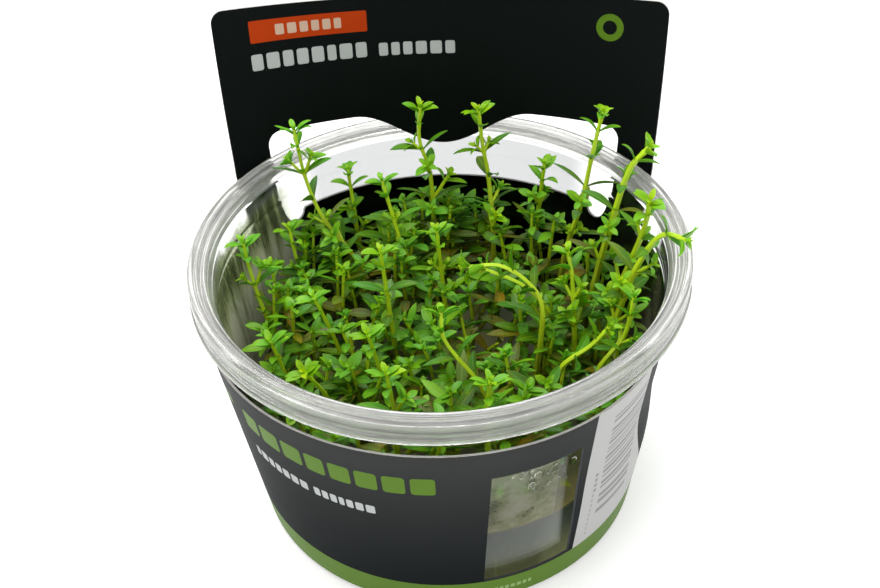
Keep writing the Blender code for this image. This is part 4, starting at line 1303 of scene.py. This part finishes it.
def add_tube(surface, path, radii, ages, sides=8):
    """A closed tube along a path, on the stem material."""
    path = np.array([tuple(point) for point in path])
    tangent = np.gradient(path, axis=0)
    tangent /= np.linalg.norm(tangent, axis=1, keepdims=True)
    side = np.cross(tangent, (0.31, 0.95, 0.05))
    side /= np.linalg.norm(side, axis=1, keepdims=True)
    other = np.cross(tangent, side)
    turns = np.arange(sides) * math.tau / sides
    square = 1 + 0.10 * np.cos(4 * turns)
    spokes = (side[:, None, :] * (np.cos(turns) * square)[None, :, None]
              + other[:, None, :] * (np.sin(turns) * square)[None, :, None])
    rings = path[:, None, :] + spokes * np.array(radii)[:, None, None]
    points = np.concatenate([rings.reshape(-1, 3), path[:1], path[-1:] + tangent[-1:] * radii[-1]])
    ages = np.concatenate([np.repeat(ages, sides), ages[:1], ages[-1:]])
    surface.add(points, ring_faces(len(path), sides), STEM_SLOT, age=ages)


def tip_rosette(surface, point, direction, twist, size, age=0.04):
    """The small leaves at a growing tip: the innermost nearly closed, the outermost spread flat."""
    opened = random.uniform(0.8, 1.25)
    for turn, (share, spread) in enumerate(((0.45, 0.3), (0.75, 0.8 * opened), (1.0, 1.7 * opened))):
        outward, _ = pair_frame(direction, twist, turn)
        foot = point - direction * 0.35 * turn
        for side in (1, -1):
            length = size * share * random.uniform(0.8, 1.15)
            lean = side * outward * spread
            middle = foot + (direction + lean).normalized() * length * 0.5
            tip = middle + (direction * 0.55 + lean * 1.2).normalized() * length * 0.5
            add_leaf(surface, foot, middle, tip, direction, length * random.uniform(0.38, 0.46),
                     age + 0.10 * turn, 6, 2, fold=0.4, blunt=0.7)


def side_shoot(surface, foot, way, length):
    """A short branch out of a leaf's axil, with small leaves and a tip of its own."""
    end = foot + way * length + Vector((0, 0, 0.12 * length))
    if blocked(end) or blocked(end + way * 2.0):
        return
    path = [foot, foot + way * length * 0.4, foot.lerp(end, 0.75), end]
    add_tube(surface, path, [0.42, 0.36, 0.33, 0.28], np.array([0.35, 0.25, 0.15, 0.08]), sides=6)
    direction = (end - path[2]).normalized()
    twist = random.uniform(0, math.pi)
    if length > 3.5:
        outward, _ = pair_frame(direction, twist, 1)
        for side in (1, -1):
            size = random.uniform(3.2, 5.2)
            middle, tip = leaf_line(path[2], side * outward, direction, size)
            if not blocked(tip):
                add_leaf(surface, path[2], middle, tip, direction, leaf_width(size), 0.25, 7, 2, blunt=0.6)
    tip_rosette(surface, end, direction, twist, random.uniform(2.6, 3.4))


def shoot_plant(name, path, twist, rows, materials):
    """A shoot in full: its jointed stem, its pairs of leaves, its side shoots and its tip."""
    surface = Surface()
    total = path_length(path)
    nodes = leaf_nodes(path)
    while nodes and nodes[-1] + INTERNODE < total:
        nodes.append(nodes[-1] + INTERNODE)
    count = max(12, int(total / 0.8))
    distances = [total * (1 - step / count) for step in range(count)] + [0.0]
    stout = STOUT_STEMS.get(name, 1.0)
    line, radii, ages = [], [], []
    for distance in distances:
        point, _ = along_path(path, distance)
        swell = sum(math.exp(-((distance - node) / 0.5) ** 2) for node in nodes)
        line.append(point)
        radii.append((STEM_TIP_RADIUS + (STEM_RADIUS - STEM_TIP_RADIUS) * distance / total) * stout
                     * (1 + 0.25 * min(swell, 1.0)))
        ages.append(min(distance / 42.0, 1.0) ** 1.3)
    add_tube(surface, line, radii, np.array(ages))
    for index, (distance, foot, direction, outward, side_way) in enumerate(leaf_places(path, twist)):
        young = YOUNG_LEAVES[index] if index < len(YOUNG_LEAVES) else 1.0
        for side, length in zip((1, -1), rows[index]):
            length *= young
            if length:
                middle, tip = leaf_line(foot, side * outward, direction, length)
                tip += direction * random.uniform(-0.9, 0.5)
                age = min(0.2 + distance / 30.0, 0.78) + random.uniform(-0.12, 0.12)
                add_leaf(surface, foot, middle, tip, direction, leaf_width(length) * random.uniform(0.9, 1.1),
                         age, roll=random.uniform(-0.35, 0.35), blunt=random.uniform(0.2, 0.7))
            chance = 0.25 if foot.z > LUSH_BELOW else 0.6
            if index > 1 and name not in BARE_STEMS and random.random() < chance:
                way = (side * outward * 0.75 + direction).normalized()
                side_shoot(surface, foot, way, random.uniform(1.0, 2.0 + 1.2 * min(index, 4)))
        if index > 0 and name not in BARE_STEMS and random.random() < 0.5:
            bud = random.uniform(1.8, 3.4)
            middle, tip = leaf_line(foot, side_way, direction * 1.6, bud)
            if not blocked(tip):
                add_leaf(surface, foot, middle, tip, direction, bud * 0.45, 0.15, 6, 2, blunt=0.8)
    tip_point, tip_direction = along_path(path, 0.3)
    tip_rosette(surface, tip_point, tip_direction, twist + 0.4, 3.9)
    made = surface.build(name.replace("shoot_", "plant_"), materials)
    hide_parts(name)
    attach(made, "root")


def inside_cup(point, margin=0.6):
    return math.hypot(point.x, point.y) < wall_radius(point.z) - CUP_WALL - margin


def small_shoot(surface, x, y, top, lean, old=False):
    """One low leaning shoot of the undergrowth, up to the height of its top; old ones are brown."""
    way = random.uniform(0, math.tau)
    root = Vector((x, y, STEM_FOOT))
    height = top - STEM_FOOT
    tip = root + Vector((math.cos(way) * lean, math.sin(way) * lean, 1.0)) * height
    if not inside_cup(tip, 2.0):
        tip = root + Vector((0, 0, height))
    bow = root.lerp(tip, 0.5) + Vector((random.uniform(-1, 1), random.uniform(-1, 1), 0)) * 1.4
    path = [(1 - t) ** 2 * root + 2 * t * (1 - t) * bow + t ** 2 * tip
            for t in (step / SMALL_SHOOT_STEPS for step in range(SMALL_SHOOT_STEPS + 1))]
    radii = [SMALL_STEM_RADIUS - SMALL_STEM_TAPER * step for step in range(len(path))]
    add_tube(surface, path, radii, np.linspace(0.95, 0.15, len(path)), sides=5)
    twist = random.uniform(0, math.pi)
    vigour = random.uniform(0.75, 1.12)
    for index, (distance, length) in enumerate(SMALL_SHOOT_LEAVES):
        if distance > height - 1.0:
            continue
        foot, direction = along_path(path, distance)
        outward, _ = pair_frame(direction, twist, index)
        for side in (1, -1):
            size = length * vigour * random.uniform(0.75, 1.1)
            middle, end = leaf_line(foot, side * outward, direction * random.uniform(0.3, 1.1), size)
            if inside_cup(end) and inside_cup(middle):
                age = min(max(0.24 + distance / 17.0 + random.uniform(-0.15, 0.25), 0.1), 0.92)
                if old or index > 1 and random.random() < 0.12:
                    age = random.uniform(0.86, 1.0)
                add_leaf(surface, foot, middle, end, direction, leaf_width(size) * random.uniform(0.9, 1.1),
                         age, 6, 2, roll=random.uniform(-0.5, 0.5), blunt=random.uniform(0.2, 0.8))
    if not old:
        tip_rosette(surface, tip, (path[-1] - path[-2]).normalized(), twist, random.uniform(2.2, 4.4),
                    random.uniform(0.1, 0.3))


def in_gap(x, y):
    """True in the clearings, where only low old leaves are left."""
    return any(math.hypot(x - gap_x, y - gap_y) < radius for gap_x, gap_y, radius in GAPS)


def undergrowth(materials):
    """The low tangle: small leaning shoots on a jittered net of roots, and taller ones among them."""
    surface, tall_surface = Surface(), Surface()
    jitter = SMALL_SHOOT_JITTER
    rows = math.ceil(SMALL_SHOOT_RADIUS / (SMALL_SHOOT_SPACING * ROW_SHARE)) + 1
    for row in range(-rows, rows + 1):
        for column in range(-rows, rows + 1):
            x = (column + 0.5 * (row % 2)) * SMALL_SHOOT_SPACING + random.uniform(-jitter, jitter)
            y = row * SMALL_SHOOT_SPACING * ROW_SHARE + random.uniform(-jitter, jitter)
            if math.hypot(x, y) > SMALL_SHOOT_RADIUS:
                continue
            if in_gap(x, y):
                top = STEM_FOOT + random.uniform(*OLD_SHOOT_HEIGHTS)
                small_shoot(surface, x, y, top, random.uniform(0.3, 0.9), old=True)
            else:
                drop = FRONT_DROP * smooth_step((FRONT_DROP_FROM - y) / FRONT_DROP_SPAN)
                top = undergrowth_height(x, y) + random.uniform(*SMALL_SHOOT_TOPS) - drop
                small_shoot(surface, x, y, top, random.uniform(0.05, 0.5))
    for _ in range(TALLER_SHOOTS):
        turn = random.uniform(0, math.tau)
        away = SMALL_SHOOT_RADIUS * math.sqrt(random.uniform(0.2, 0.97))
        x, y = polar(away, turn)
        rise = 5.0 * smooth_step((y + 5.0) / 35.0) + 3.0 * smooth_step((-x - 10.0) / 20.0)
        if (y > -24.0 or random.random() < 0.5) and not in_gap(x, y):
            top = random.uniform(*TALLER_SHOOT_TOPS) + rise
            small_shoot(tall_surface, x, y, top, random.uniform(0.05, 0.3))
    for count, azimuths, tops in WALL_SPRIGS:
        for _ in range(count):
            turn = math.radians(random.uniform(*azimuths) - 90.0)
            away = random.uniform(*WALL_SPRIG_PLACES)
            small_shoot(tall_surface, *polar(away, turn), random.uniform(*tops), random.uniform(0.02, 0.2))
    for name, part in (("undergrowth_foliage", surface), ("undergrowth_tall_foliage", tall_surface)):
        made = part.build(name, materials)
        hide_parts("undergrowth")
        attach(made, "root")


# Stage

def camera():
    data = bpy.data.cameras.new("camera")
    data.sensor_fit = "HORIZONTAL"
    data.sensor_width = SENSOR_WIDTH
    data.lens = FOCAL_PIXELS / PHOTO_WIDTH * SENSOR_WIDTH
    data.clip_start = 0.01
    pitch, yaw, roll = (math.radians(angle) for angle in (CAMERA_PITCH, CAMERA_YAW, CAMERA_ROLL))
    forward = Vector((math.sin(yaw) * math.cos(pitch), math.cos(yaw) * math.cos(pitch), -math.sin(pitch)))
    level = Vector((math.cos(yaw), -math.sin(yaw), 0.0))
    down = forward.cross(level)
    right = math.cos(roll) * level + math.sin(roll) * down
    below = -math.sin(roll) * level + math.cos(roll) * down
    turn = Matrix.Rotation(math.radians(CUP_TURN), 3, "Z")
    facing = Matrix((turn @ right, turn @ -below, turn @ -forward)).transposed()
    place = turn @ Vector((0.0, -CAMERA_DISTANCE, CAMERA_HEIGHT)) * MM
    made = bpy.data.objects.new("camera", data)
    made.matrix_world = Matrix.Translation(place) @ facing.to_4x4()
    bpy.context.scene.collection.objects.link(made)
    bpy.context.scene.camera = made


def area_light(name, place, aim, size, radiance):
    """A square light with a given brightness of its face."""
    data = bpy.data.lights.new(name, "AREA")
    data.size = size
    data.energy = radiance * math.pi * size * size
    made = bpy.data.objects.new(name, data)
    direction = Vector(aim) - Vector(place)
    made.matrix_world = (Matrix.Translation(Vector(place))
                         @ direction.to_track_quat("-Z", "Y").to_matrix().to_4x4())
    bpy.context.scene.collection.objects.link(made)


def stage():
    world = bpy.data.worlds.new("studio")
    world.use_nodes = True
    background = world.node_tree.nodes["Background"]
    background.inputs["Color"].default_value = (1.0, 1.0, 1.0, 1.0)
    background.inputs["Strength"].default_value = WORLD_BRIGHTNESS
    bpy.context.scene.world = world
    bpy.context.scene.view_settings.view_transform = "Standard"
    for light in LIGHTS:
        area_light(*light)
    corners = [(x * FLOOR_REACH, y * FLOOR_REACH, -FLOOR_DROP)
               for x, y in ((-1, -1), (1, -1), (1, 1), (-1, 1))]
    surface = Surface()
    surface.add(corners, [(0, 1, 2, 3)])
    surface.build("floor", [floor_material()])


def main():
    camera()
    stage()
    cup()
    gel()
    droplets()
    card_sleeve()
    greens = [leaf_material(), stem_material()]
    paths = {name: stem_path(points) for name, points in SHOOTS.items()}
    for name, (twist, rows) in plan_leaves(paths).items():
        shoot_plant(name, paths[name], twist, rows, greens)
    undergrowth(greens)


main()
